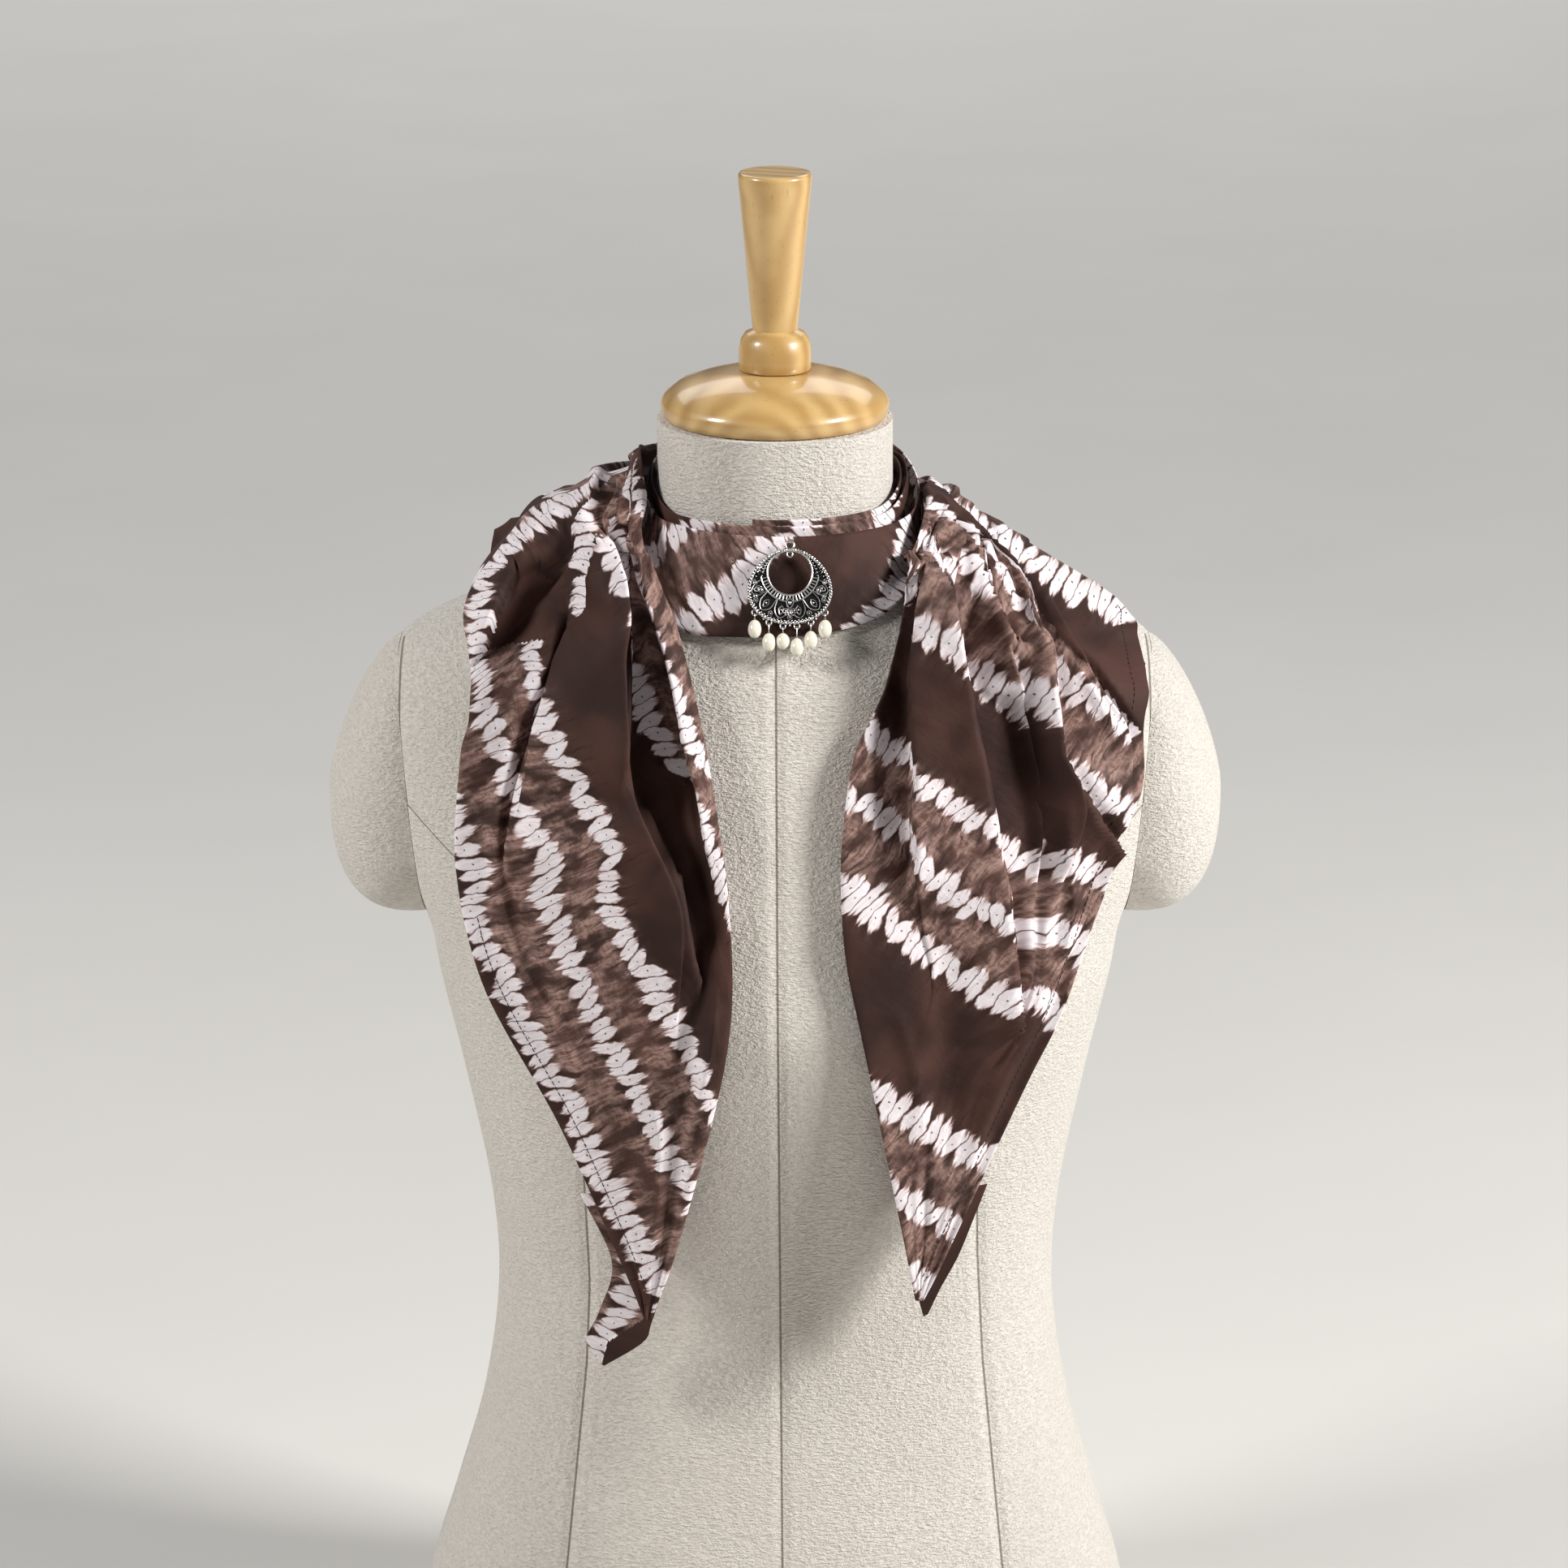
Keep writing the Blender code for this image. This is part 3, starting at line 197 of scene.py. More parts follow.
# Right columns: hem turn, edge, foot 5, ridge 5, foot 4, ridge 4, foot 3, ridge 3, foot 2, ridge 2,
# ridge 1, foot 1, inner edge, inner turn
RIGHT_SECTIONS = (
    ("nape", (-10, 74, 564), (-12, 65.5, 596),
     (0.03, 0, 0.08, 0.11, 0.25, 0.29, 0.43, 0.47, 0.62, 0.66, 0.8, 0.84, 1, 0.96),
     (0, 2, 0, 2, 0, 2, 0, 3, 0, 3, 3, 0, 2, 0)),
    ("back", (80, 90.5, 548), (51, 65, 586),
     (0.04, 0, 0.2, 0.24, 0.38, 0.42, 0.52, 0.56, 0.69, 0.74, 0.83, 0.86, 1, 0.96),
     (0, 3, 0, 4, 0, 4, 0, 5, 0, 5, 4, 1, 2, 0)),
    ("behind", (146, 54, 541), (67, 30, 598),
     (0.05, 0, 0.38, 0.42, 0.52, 0.56, 0.69, 0.73, 0.81, 0.85, 0.9, 0.92, 1, 0.97),
     (-2, 1, 1, 2, 1.5, 2.5, 1.5, 3, 2, 4, 4, 2, 3, -1)),
    ("crest", (162, 0, 541), (67, -2, 602),
     (0.05, 0, 0.46, 0.5, 0.59, 0.63, 0.75, 0.8, 0.85, 0.89, 0.93, 0.95, 1, 0.98),
     (-3, 0, 0, 0.8, 0.4, 1.2, 0.8, 1.6, 1.4, 2.6, 2.6, 2, 2, -2)),
    ("fold top", (163, -20, 538), (68, -14, 600),
     (0.05, 0, 0.43, 0.48, 0.56, 0.61, 0.74, 0.8, 0.85, 0.9, 0.93, 0.95, 1, 0.98),
     (-3, 0, 0, 1, 0.4, 1.6, 0.8, 2.2, 1.4, 3, 3, 2, 2, -2)),
    ("collar", (165, None, 530), (66, -38, 591),
     (0.05, 0, 0.4, 0.35, 0.54, 0.49, 0.75, 0.69, 0.9, 0.84, 0.95, 0.93, 1, 0.98),
     (-2, 1, 0, 3, 1, 4, 1, 6, 2, 7, 7, 2, 3, -1)),
    ("high chest", (166, None, 519), (58, None, 572),
     (0.05, 0, 0.25, 0.2, 0.46, 0.41, 0.66, 0.6, 0.88, 0.82, 0.94, 0.91, 1, 0.97),
     (-1, 3, 0, 5, 0, 6, 0, 8, 0, 9.5, 8, 2, 4, 0)),
    ("armpit", (165.5, None, 506), (55, None, 552),
     (0.05, 0, 0.13, 0.08, 0.43, 0.38, 0.56, 0.51, 0.81, 0.75, 0.93, 0.89, 1, 0.97),
     (-1, 3, 0, 4, 0, 7, 1, 4, 0, 9.5, 8, 2, 4, 0)),
    ("corner", (166, None, 484), (49, None, 530),
     (0.05, 0, 0.1, 0.06, 0.38, 0.33, 0.48, 0.45, 0.71, 0.66, 0.88, 0.84, 1, 0.97),
     (-1, 3, 0, 3, 0, 7, 1, 3, 0, 9, 8, 2, 4, 0)),
    ("under corner", (160, None, 467), (37, None, 503),
     (0.04, 0, 0.09, 0.06, 0.25, 0.2, 0.38, 0.34, 0.59, 0.54, 0.79, 0.75, 1, 0.97),
     (-1, 3, 0, 3, 0, 5, 1, 2, 0, 8, 7, 2, 4, 0)),
    ("chest", (151, None, 451), (32, None, 469),
     (0.04, 0, 0.08, 0.12, 0.2, 0.17, 0.3, 0.27, 0.49, 0.44, 0.74, 0.71, 1, 0.97),
     (-1, 2, 0, 1, 0, 4, 0, 1.5, 0, 7, 6, 2, 4, 0)),
    ("bust", (144, None, 427), (31.5, None, 441),
     (0.04, 0, 0.06, 0.1, 0.15, 0.19, 0.24, 0.28, 0.41, 0.37, 0.68, 0.71, 1, 0.97),
     (-1, 2, 0, 1, 0, 2.5, 0.5, 1, 0, 5.5, 4, 1.5, 3.5, 0)),
    ("hem turn", (130, None, 386), (34, None, 412),
     (0.04, 0, 0.05, 0.08, 0.11, 0.14, 0.17, 0.2, 0.3, 0.26, 0.58, 0.66, 1, 0.96),
     (-1, 2, 0, 0.5, 1, 0.5, 0.5, 0.5, 0, 4, 2, 0.5, 3, 0)),
    ("waist", (111, None, 347), (41, None, 373),
     (0.06, 0, 0.07, 0.14, 0.2, 0.26, 0.33, 0.4, 0.48, 0.54, 0.64, 0.76, 1, 0.94),
     (-1, 2, 1, 3, 2, 0.5, 0.5, 0.5, 0.5, 0.5, 1.5, 1, 2.5, -1)),
    ("low", (78, None, 274), (58, None, 284),
     (0.1, 0, 0.08, 0.15, 0.22, 0.28, 0.35, 0.42, 0.49, 0.56, 0.66, 0.78, 1, 0.9),
     (-1, 1.5, 1, 1, 1, 1, 1, 1, 1, 1, 1.5, 1.5, 2, -1)),
    ("tip", (67, None, 251), (64, None, 251.5),
     (0.1, 0, 0.08, 0.15, 0.22, 0.28, 0.35, 0.42, 0.49, 0.56, 0.66, 0.78, 1, 0.9),
     (-1, 1, 1, 1, 1, 1, 1, 1, 1, 1, 1, 1, 1, -1)),
)

# Depth of the folds, half width of a fold's edge, and how far the edge hangs over, in mm
CREASE_DEPTH, EDGE_HALF, OVERHANG, OVERHANG_FADE = 1.7, 0.7, 2.6, 3.4
END_FADE_IN, END_FADE_OUT = 0.12, 0.15
SECTION_FADE_IN, SECTION_FADE_OUT, COLUMN_FADE = 0.8, 0.6, 0.4
VALLEY_SHARE, VALLEY_PLACE = 0.45, 0.35
# Unevenness of the worn cloth: cells down and across, and share of its height
RUMPLE_CELLS = (((9, 7), 1.0), ((19, 13), 0.55), ((40, 26), 0.25))
RUMPLE_SIZE, LEFT_RUMPLE_SEED, RIGHT_RUMPLE_SEED = 0.55, 5, 9
# Folds along lines in the photograph, in its pixels from the top down: which side lies over the
# other, or ridge or valley; height, width and cloth tucked away, in mm; first and last section;
# first and last column
LEFT_FOLD_A = (
    (762, 560), (753, 584), (732, 608), (708, 644), (684, 664), (657, 685), (635, 704), (625, 725),
    (607, 773), (601, 795), (588, 816)
)
LEFT_CREASES = (
    ("left over", 4.2, 14, 0, ("behind", "chest"), (0, 4), LEFT_FOLD_A),
    ("valley", 3.5, 8, 0, ("behind", "chest"), (0, 6), ((705, 640), (673, 680), (665, 733), (657, 760),
     (647, 800), (633, 816), (644, 845))),
    ("right over", 5.0, 12, 0, ("crest", "high chest"), (2, 7), ((772, 583), (763, 621), (755, 669),
     (745, 704), (737, 725), (721, 752))),
    ("right over", 2.6, 13, 0, ("collar", "bust"), (2, 7), ((721, 752), (711, 771), (700, 797),
     (689, 819), (679, 851), (661, 904), (652, 967), (639, 1015), (625, 1060), (620, 1087))),
    ("ridge", 1.4, 2.5, 0, ("armpit", "bust"), (0, 7), ((668, 905), (655, 960), (645, 1010), (632, 1060),
     (622, 1100))),
    ("left over", 5.6, 12, 20, ("crest", "hem corner"), (4, 9), ((777, 602), (778, 700), (777, 867),
     (773, 927), (770, 985))),
    ("left over", 3.6, 16, 0, ("chest", "bust"), (4, 8), ((793, 983), (812, 1028), (836, 1081),
     (844, 1127), (855, 1188), (876, 1236))),
    ("valley", 3.0, 7, 0, ("armpit", "bust"), (6.5, 10), ((800, 960), (825, 1025), (848, 1081),
     (860, 1127), (872, 1180))),
    ("right over", 4.2, 8, -12, ("crest", "hem corner"), (8, 11), ((779, 621), (781, 669), (793, 723),
     (812, 773), (823, 808), (836, 861), (845, 915), (863, 975), (873, 1044), (880, 1097))),
    ("ridge", 1.8, 2.0, 0, ("hem corner", "low"), (0, 11), ((884, 1233), (879, 1273), (874, 1300),
     (864, 1339), (850, 1391), (843, 1440))),
    ("ridge", 1.2, 4.0, 0, ("chest", "low"), (0, 9), ((600, 1130), (640, 1190), (690, 1270),
     (730, 1360))),
    ("valley", 1.6, 10, 0, ("chest", "low"), (0, 9), ((640, 1060), (690, 1160), (730, 1280), (770, 1400),
     (800, 1500))),
    ("ridge", 1.2, 3.0, 0, ("bust", "tip"), (0, 11), ((800, 1330), (815, 1400), (812, 1480),
     (800, 1560))),
)
RIGHT_CREASES = (
    ("right over", 5.0, 11, -10, ("high chest", "hem turn"), (8.5, 13), ((1131, 610), (1133, 643),
     (1128, 712), (1127, 760), (1125, 840), (1127, 920), (1130, 964), (1127, 1007), (1131, 1055),
     (1126, 1087), (1129, 1130))),
    ("valley", 3.0, 9, 0, ("collar", "bust"), (9.5, 13), ((1120, 660), (1112, 760), (1108, 860),
     (1104, 960), (1108, 1060))),
    ("left over", 5.0, 13, 11, ("high chest", "waist"), (6, 11), ((1145, 650), (1157, 707), (1169, 765),
     (1181, 816), (1193, 867), (1206, 932), (1217, 991), (1227, 1044), (1235, 1097), (1241, 1167),
     (1249, 1252), (1254, 1326), (1250, 1361))),
    ("valley", 5.0, 9, 0, ("armpit", "hem turn"), (3, 9), ((1215, 850), (1228, 890), (1240, 950),
     (1250, 1020), (1262, 1100))),
    ("left over", 4.0, 9, 0, ("collar", "corner"), (3, 10), ((1150, 615), (1179, 659), (1195, 685),
     (1209, 723), (1225, 760), (1241, 795), (1275, 799))),
    ("left over", 4.4, 10, 36, ("high chest", "bust"), (1, 8), ((1200, 650), (1233, 680), (1257, 701),
     (1270, 725), (1279, 768), (1289, 813), (1297, 877), (1303, 932), (1313, 953), (1329, 980),
     (1350, 1015), (1370, 1045), (1400, 1100), (1425, 1150))),
    ("right over", 3.0, 12, 0, ("high chest", "under corner"), (0, 6), ((1225, 665), (1249, 685),
     (1273, 720), (1281, 749), (1313, 787), (1345, 819), (1366, 845), (1395, 885), (1410, 902))),
    ("ridge", 1.8, 2.4, 0, ("high chest", "under corner"), (0, 6), ((1287, 779), (1313, 805), (1339, 837),
     (1361, 877), (1385, 917))),
    ("valley", 2.5, 7, 0, ("collar", "high chest"), (1, 9), ((1160, 618), (1200, 655), (1240, 700),
     (1262, 760), (1268, 820))),
    ("ridge", 1.6, 5.0, 0, ("corner", "waist"), (1, 9), ((1310, 980), (1315, 1049), (1319, 1113),
     (1310, 1190))),
    ("valley", 1.8, 9.0, 0, ("chest", "low"), (3, 13), ((1150, 1100), (1165, 1200), (1170, 1300),
     (1165, 1400))),
    ("ridge", 1.2, 3.0, 0, ("hem turn", "tip"), (0, 13), ((1100, 1230), (1130, 1330), (1150, 1430),
     (1145, 1530))),
)
# Parts of a tail that show another part of the pattern: the left side of an edge on its way down,
# the line of its petal row, the row's place in the pattern, first and last section, growth and shift
LEFT_PATCHES = (
    (((800, 530), (772, 583), (763, 621), (755, 669), (745, 704), (737, 725), (721, 752), (690, 772),
     (640, 788), (606, 798), (560, 812)), ((745, 560), (718, 600), (722, 640), (729, 690), (724, 740),
     (735, 790)), 16.0, ("crest", "armpit"), 1.0, 40.0),
    (LEFT_FOLD_A, ((803, 548), (762, 577), (715, 606), (672, 636), (636, 668), (611, 700), (599, 740),
     (594, 785), (592, 830)), 78.0, ("crest", "armpit"), 1.25, 11.0),
)
RIGHT_PATCHES = (
    (((1410, 902), (1395, 885), (1366, 845), (1345, 819), (1313, 787), (1281, 749), (1273, 720),
     (1249, 685), (1225, 665), (1170, 610)), ((1120, 590), (1170, 624), (1210, 650), (1250, 676),
     (1290, 700), (1330, 722), (1392, 759)), 16.0, ("behind", "corner"), 1.0, 0.0),
)

# Where the dye rows lie. Hidden: cloth folded away in the pleats before each column, in mm.
LEFT_DYE = {
    "slope": 63.5, "flat_from": "high chest", "fade_from": "hem corner", "fade_to": "low",
    "hidden": (0, 0, 0, 0, 0, 0, 0, 0, 0, 0, 12, 12),
    "measured": (70, 103, 132, 187), "pattern": (16, 47, 78, 138),
}
RIGHT_DYE = {
    "slope": 35.0, "flat_from": "high chest", "fade_from": "hem turn", "fade_to": "waist",
    "hidden": (-20, -20, -20, -20, -20, -19, -14, -8, -1, 0, 0, 0, 0, 0),
    "measured": (281.5, 315, 383, 411, 441, 493), "pattern": (-75, -44, 16, 47, 78, 138),
}
LEFT_UNDER_DYE = {"slope": 107.0, "measured": (-140.4, -109.4), "pattern": (47, 78)}
LEFT_UNDERSIDE = ((738, 1700), (749, 1652), (800, 1618))
RIGHT_UNDER_DYE = {"slope": 35.0, "measured": (200, 330), "pattern": (92, 124)}
RIGHT_UNDERSIDE = ((1128, 1640), (1100, 1540), (1150, 1400), (1240, 1440))
BAND_DYE = {"slope": 135.0, "measured": (-457.6, -419.7, -367.7), "pattern": (47, 78, 138)}

# The second thickness of the folded square, which shows past the front one at each tip
LEFT_UNDER = (
    ((-88, 300), (-38, 303)),
    ((-74, 268), (-48, 266)),
    ((-80, 243), (-56, 240)),
    ((-86, 228), (-60, 230)),
    ((-80, 218), (-78, 216.5)),
)
RIGHT_UNDER = (
    ((96, 304), (62, 300)),
    ((90, 288), (62, 284)),
    ((83, 270), (62, 268)),
    ((75, 255), (65, 252)),
    ((69.5, 243), (67.5, 242)),
)
UNDER_COLUMNS, UNDER_STEPS = 60, 16
TURNED_UP_LIFT, TURNED_UP_PLAIN = 1.2, 100

# Throat band: turn from the front in degrees, top radius, top height, low radius and low height
BAND_CENTRE_X = 3.5
BAND_SECTIONS = (
    (-122, 62, 614, 62, 587),
    (-95, 62, 604, 63, 583),
    (-70, 62, 595, 70, 573),
    (-48, 62, 594, 82, 560),
    (-30, 62, 594, 85, 553),
    (-12, 62, 594, 81, 552.5),
    (8, 62, 594, 79, 553),
    (25, 62, 594, 80, 556),
    (38, 62, 594, 80, 561),
    (52, 62, 594, 75, 568),
    (75, 62, 596, 64, 580),
    (98, 62, 604, 62, 585),
    (130, 62, 614, 62, 588),
    (158, 62, 611, 62, 589),
    (182, 60.5, 603, 60.5, 590),
)
BAND_CLEAR, BAND_SOFTNESS, BAND_FLAT_RADIUS = 2.6, 0.3, 70
BAND_STEPS_ROUND, BAND_STEPS_DOWN = 12, 24

# Thin layers inside the band: name, middle x, radius, height, rise, drop and first turn
LAYERS = (
    ("scarf_neck_layer_inner", 1.6, 55.9, 600.0, 12.0, 6.5, -12),
    ("scarf_neck_layer_outer", 2.0, 58.4, 597.6, 15.0, 7.0, -115),
)
LAYER_STEPS = 120
LAYER_LAST_TURN = 186
LAYER_LIFT_START, LAYER_LIFT_SPAN = 50, 60
LAYER_DIVE_START, LAYER_DIVE_SPAN, LAYER_DIVE = 140, 44, 8
LAYER_LEAN = ((0.0, -0.35), (0.15, -0.25), (0.4, 0.0), (0.7, 0.05), (1.0, 0.1))

# Brooch
BROOCH_MIDDLE = (6.7, -74.8, 574.5)
BROOCH_LEAN = math.radians(22.0)
BROOCH_HALF_WIDTH, BROOCH_HALF_HEIGHT, BROOCH_BELLY = 18.7, 17.0, 0.13
LADDER_BARS = 23
HOLE_RADIUS, HOLE_RISE = 9.7, 6.1
TOP_RING_RADIUS, TOP_RING_WIRE = 1.9, 0.5
PIN_RADIUS, PIN_HALF_LENGTH, PIN_BACK = 0.5, 12.0, 2.5
PIN_LEVEL, PIN_POST, PIN_OVERHANG = -4.5, 1.6, 1.2
LUG_RADIUS, LUG_WIRE = 1.2, 0.35
EYE_RADIUS, EYE_WIRE, EYE_DROP = 1.4, 0.22, 0.4
PEARL_HALF_WIDTH, PEARL_HALF_HEIGHT = 3.0, 4.1
# Filigree: turns from straight down of the arches and scrolls, scrolls on the horns, centre petals
ARCH_TURNS = (-64, -38, -13, 13, 38, 64)
SCROLL_TURNS = (-77, -51, -25.5, 0, 25.5, 51, 77)
HORN_SCROLLS = ((12.9, -1.6, 1.5), (15.4, 1.6, 1.1), (15.2, -4.4, 1.2))
CENTRE_TURNS = (-62, -31, 0, 31, 62)
LADDER_START, LADDER_END = math.radians(-172), math.radians(-8)
PLATE_SIDES, PLATE_INSET, PLATE_DEPTHS = 96, 0.3, (0.1, -0.75)
# Rim of two twisted strands: their inset, reach, wire and turns
RIM_INSET, RIM_REACH, RIM_WIRE, RIM_TURNS, RIM_STEPS = 0.65, 0.38, 0.4, 38, 420
# Distance across and extra length of each wire eye
PEARLS = ((-15.6, 0.0), (-9.3, 1.6), (-3.1, 0.0), (3.1, 2.2), (9.3, 0.6), (15.6, 0.0))
PEARL_LEAN = math.radians(26)

# Hem stitches: inset of the row, pitch and thickness, and each stitch's places along and lifts
HEM_INSET, HEM_END_ROWS = 7.0, 6
STITCH_START, STITCH_PITCH, STITCH_RADIUS = 0.5, 2.9, 0.2
STITCH_SHAPE = ((0.0, 0.25), (0.6, 0.55), (1.6, 0.55), (2.2, 0.25))

# Dye: pitch of the petals in a row, their lean, and where the three rows lie in each period
PETAL_PITCH, PETAL_LEAN, DYE_PERIOD = 6.0, math.radians(27), 122.0
PETAL_HALF_WIDTH, PETAL_HALF_LENGTH, PETAL_HALF_SPREAD = 3.1, 7.3, 3.0
PETAL_ROWS = (16.0, 47.0, 78.0)


# Making shapes

def mesh_object(name, points, faces, finish, smooth_angle=None):
    mesh = bpy.data.meshes.new(name)
    mesh.from_pydata([tuple(float(v) * MM for v in p) for p in points], [], faces)
    mesh.update()
    return add_mesh(name, mesh, finish, smooth_angle)


def add_mesh(name, mesh, finish, smooth_angle=None):
    piece = bpy.data.objects.new(name, mesh)
    mesh.materials.clear()
    mesh.materials.append(finish)
    if smooth_angle is not None:
        mesh.shade_smooth()
        if smooth_angle < 180:
            mesh.set_sharp_from_angle(angle=math.radians(smooth_angle))
    bpy.context.scene.collection.objects.link(piece)
    return piece


def grid_faces(rows, columns, closed=False):
    faces = []
    span = columns if closed else columns - 1
    for row in range(rows - 1):
        for column in range(span):
            after = (column + 1) % columns
            faces.append((row * columns + column, row * columns + after,
                          (row + 1) * columns + after, (row + 1) * columns + column))
    return faces


def circle(count):
    """Even angles all the way round."""
    return [2 * math.pi * step / count for step in range(count)]


def fan(pole, first, count):
    """Faces from a pole to each two neighbours on a ring."""
    return [(pole, first + step, first + (step + 1) % count) for step in range(count)]


def smooth_through(points, steps):
    """Catmull-Rom curve through the first axis of an array, with the given steps a span."""
    points = np.asarray(points, float)
    padded = np.concatenate([2 * points[:1] - points[1:2], points, 2 * points[-1:] - points[-2:-1]])
    result = []
    for span in range(len(points) - 1):
        p0, p1, p2, p3 = padded[span:span + 4]
        for step in range(steps):
            t = step / steps
            result.append(0.5 * (2 * p1 + (p2 - p0) * t + (2 * p0 - 5 * p1 + 4 * p2 - p3) * t ** 2
                                 + (3 * p1 - p0 - 3 * p2 + p3) * t ** 3))
    result.append(points[-1])
    return np.array(result)


def smooth_step(value):
    value = np.clip(value, 0.0, 1.0)
    return value * value * (3 - 2 * value)


# Shape of the form

def drape_sections():
    """The form's sections as hanging cloth meets them: below its fullest point it hangs nearly straight."""
    table = np.array(FORM_SECTIONS, float)
    for column in (1, 2, 3):
        fullest = 0.0
        for row in range(len(table) - 1, -1, -1):
            fullest = max(fullest, table[row, column])
            table[row, column] += DRAPE_SLACK * (fullest - table[row, column])
    return table


FORM_TABLE = np.array(FORM_SECTIONS, float)
DRAPE_TABLE = drape_sections()


def section_value(points, table):
    """1 on the surface, less inside and more outside."""
    half_width, front, back, power = (np.interp(points[..., 2], table[:, 0], table[:, column])
                                      for column in range(1, 5))
    depth = np.where(points[..., 1] < 0, front, back)
    across = np.abs(points[..., 0]) / half_width
    along = np.abs(points[..., 1]) / depth
    return (across ** power + along ** power) ** (1 / power)


def distance_and_normal(points, table):
    step = 0.5
    slope = np.zeros(points.shape)
    for axis in range(3):
        shift = np.zeros(3)
        shift[axis] = step
        slope[..., axis] = (section_value(points + shift, table)
                            - section_value(points - shift, table)) / (2 * step)
    size = np.linalg.norm(slope, axis=-1)
    return (section_value(points, table) - 1) / size, slope / size[..., None]


def push_clear(points, clearance, table, softness):
    """Moves the points that are nearer than the clearance out to it, with a soft start."""
    points = points.copy()
    distance = distance_and_normal(points, table)[0]
    target = clearance + softness * np.logaddexp(0.0, (distance - clearance) / softness)
    for _ in range(PUSH_ROUNDS):
        distance, normal = distance_and_normal(points, table)
        points += normal * (target - distance)[..., None]
    return points


def lay_on_front(points, lift):
    """Moves the points front to back until each lies at its lift off the draped front."""
    points = points.copy()
    points[..., 1] = FRONT_START
    for _ in range(FRONT_ROUNDS):
        distance, normal = distance_and_normal(points, DRAPE_TABLE)
        sign = np.where(normal[..., 1] > 0, 1.0, -1.0)
        points[..., 1] += np.clip((lift - distance) * sign, -FRONT_STRIDE, FRONT_STRIDE) * 0.9
    return points


def armhole_x(height):
    share = (height - ARMHOLE_LOW) / (ARMHOLE_HIGH - ARMHOLE_LOW)
    return ARMHOLE_LOW_X + share * (ARMHOLE_HIGH_X - ARMHOLE_LOW_X)


def armhole_radius(angle):
    """Distance from the middle of the armhole to its edge, in its own slanted plane."""
    low, high = 0.0, 120.0
    for _ in range(40):
        radius = (low + high) / 2
        height = ARMHOLE_MIDDLE + radius * math.sin(angle)
        point = np.array([armhole_x(height), radius * math.cos(angle), height])
        if section_value(point, FORM_TABLE) < 1:
            low = radius
        else:
            high = radius
    return low


def name_distances(mesh, name, value):
    """Stores a distance in mm for each vertex, which the material draws a seam from."""
    attribute = mesh.attributes.new(name, "FLOAT", "POINT")
    attribute.data.foreach_set("value", [float(value(v.co / MM)) for v in mesh.vertices])


def seam_distance(table, front_only=True):
    heights, places = zip(*table)

    def distance(point):
        if front_only and point.y > 0 or point.z > SEAM_TOP:
            return NO_SEAM
        return point.x - float(np.interp(point.z, heights, places))
    return distance


def build_torso(finish):
    table = smooth_through(FORM_TABLE, FORM_STEPS)
    points = []
    for height, half_width, front, back, power in table:
        for angle in circle(FORM_SIDES):
            cosine, sine = math.cos(angle), math.sin(angle)
            radius = (abs(cosine) ** power + abs(sine) ** power) ** (-1 / power)
            depth = front if sine < 0 else back
            points.append((half_width * radius * cosine, depth * radius * sine, height))
    faces = grid_faces(len(table), FORM_SIDES, closed=True)
    faces.append(tuple(reversed(range(FORM_SIDES))))
    top = (len(table) - 1) * FORM_SIDES
    faces.append(tuple(range(top, top + FORM_SIDES)))
    torso = mesh_object("form_cover", points, faces, finish, 50)
    form = bmesh.new()
    form.from_mesh(torso.data)
    for side in (-1, 1):
        place = Vector((side * (armhole_x(ARMHOLE_MIDDLE) - SEAM_GAP / 2), 0, ARMHOLE_MIDDLE)) * MM
        lean = (ARMHOLE_HIGH_X - ARMHOLE_LOW_X) / (ARMHOLE_HIGH - ARMHOLE_LOW)
        outward = Vector((side, 0, -lean)).normalized()
        faces = [f for f in form.faces if all(v.co.z > ARMHOLE_CUT_LOW * MM for v in f.verts)]
        edges = dict.fromkeys(edge for face in faces for edge in face.edges)
        verts = dict.fromkeys(vert for face in faces for vert in face.verts)
        cut = bmesh.ops.bisect_plane(form, geom=[*verts, *edges, *faces], dist=1e-6,
                                     plane_co=place, plane_no=outward, clear_outer=True)
        rim = [item for item in cut["geom_cut"] if isinstance(item, bmesh.types.BMEdge)]
        bmesh.ops.edgeloop_fill(form, edges=rim)
    bmesh.ops.recalc_face_normals(form, faces=form.faces[:])
    form.to_mesh(torso.data)
    form.free()
    name_distances(torso.data, "seam_centre", seam_distance(CENTRE_SEAM, False))
    name_distances(torso.data, "seam_left", seam_distance(LEFT_PRINCESS_SEAM))
    name_distances(torso.data, "seam_right", seam_distance(RIGHT_PRINCESS_SEAM))
    return torso


def build_arm_cap(name, side, finish):
    points = []
    radii = [(angle, armhole_radius(angle)) for angle in circle(CAP_SIDES)]
    for ring in range(CAP_RINGS):
        reach = math.sin(math.pi / 2 * ring / CAP_RINGS)
        for angle, radius in radii:
            power = CAP_ROUNDNESS - CAP_TOP_SLACK * math.sin(angle)
            edge_x = armhole_x(ARMHOLE_MIDDLE + radius * math.sin(angle)) + SEAM_GAP / 2
            shrink = (1 - reach ** power) ** (1 / power)
            points.append((side * (edge_x + (CAP_REACH - edge_x) * reach),
                           radius * shrink * math.cos(angle),
                           ARMHOLE_MIDDLE - 3 * reach + radius * shrink * math.sin(angle)))
    points.append((side * CAP_REACH, 0, ARMHOLE_MIDDLE - 3))
    faces = grid_faces(CAP_RINGS, CAP_SIDES, closed=True)
    last = (CAP_RINGS - 1) * CAP_SIDES
    faces += fan(len(points) - 1, last, CAP_SIDES)
    faces.append(tuple(range(CAP_SIDES)))
    cap = mesh_object(name, points, faces, finish, 50)
    turn_out(cap.data)
    return cap


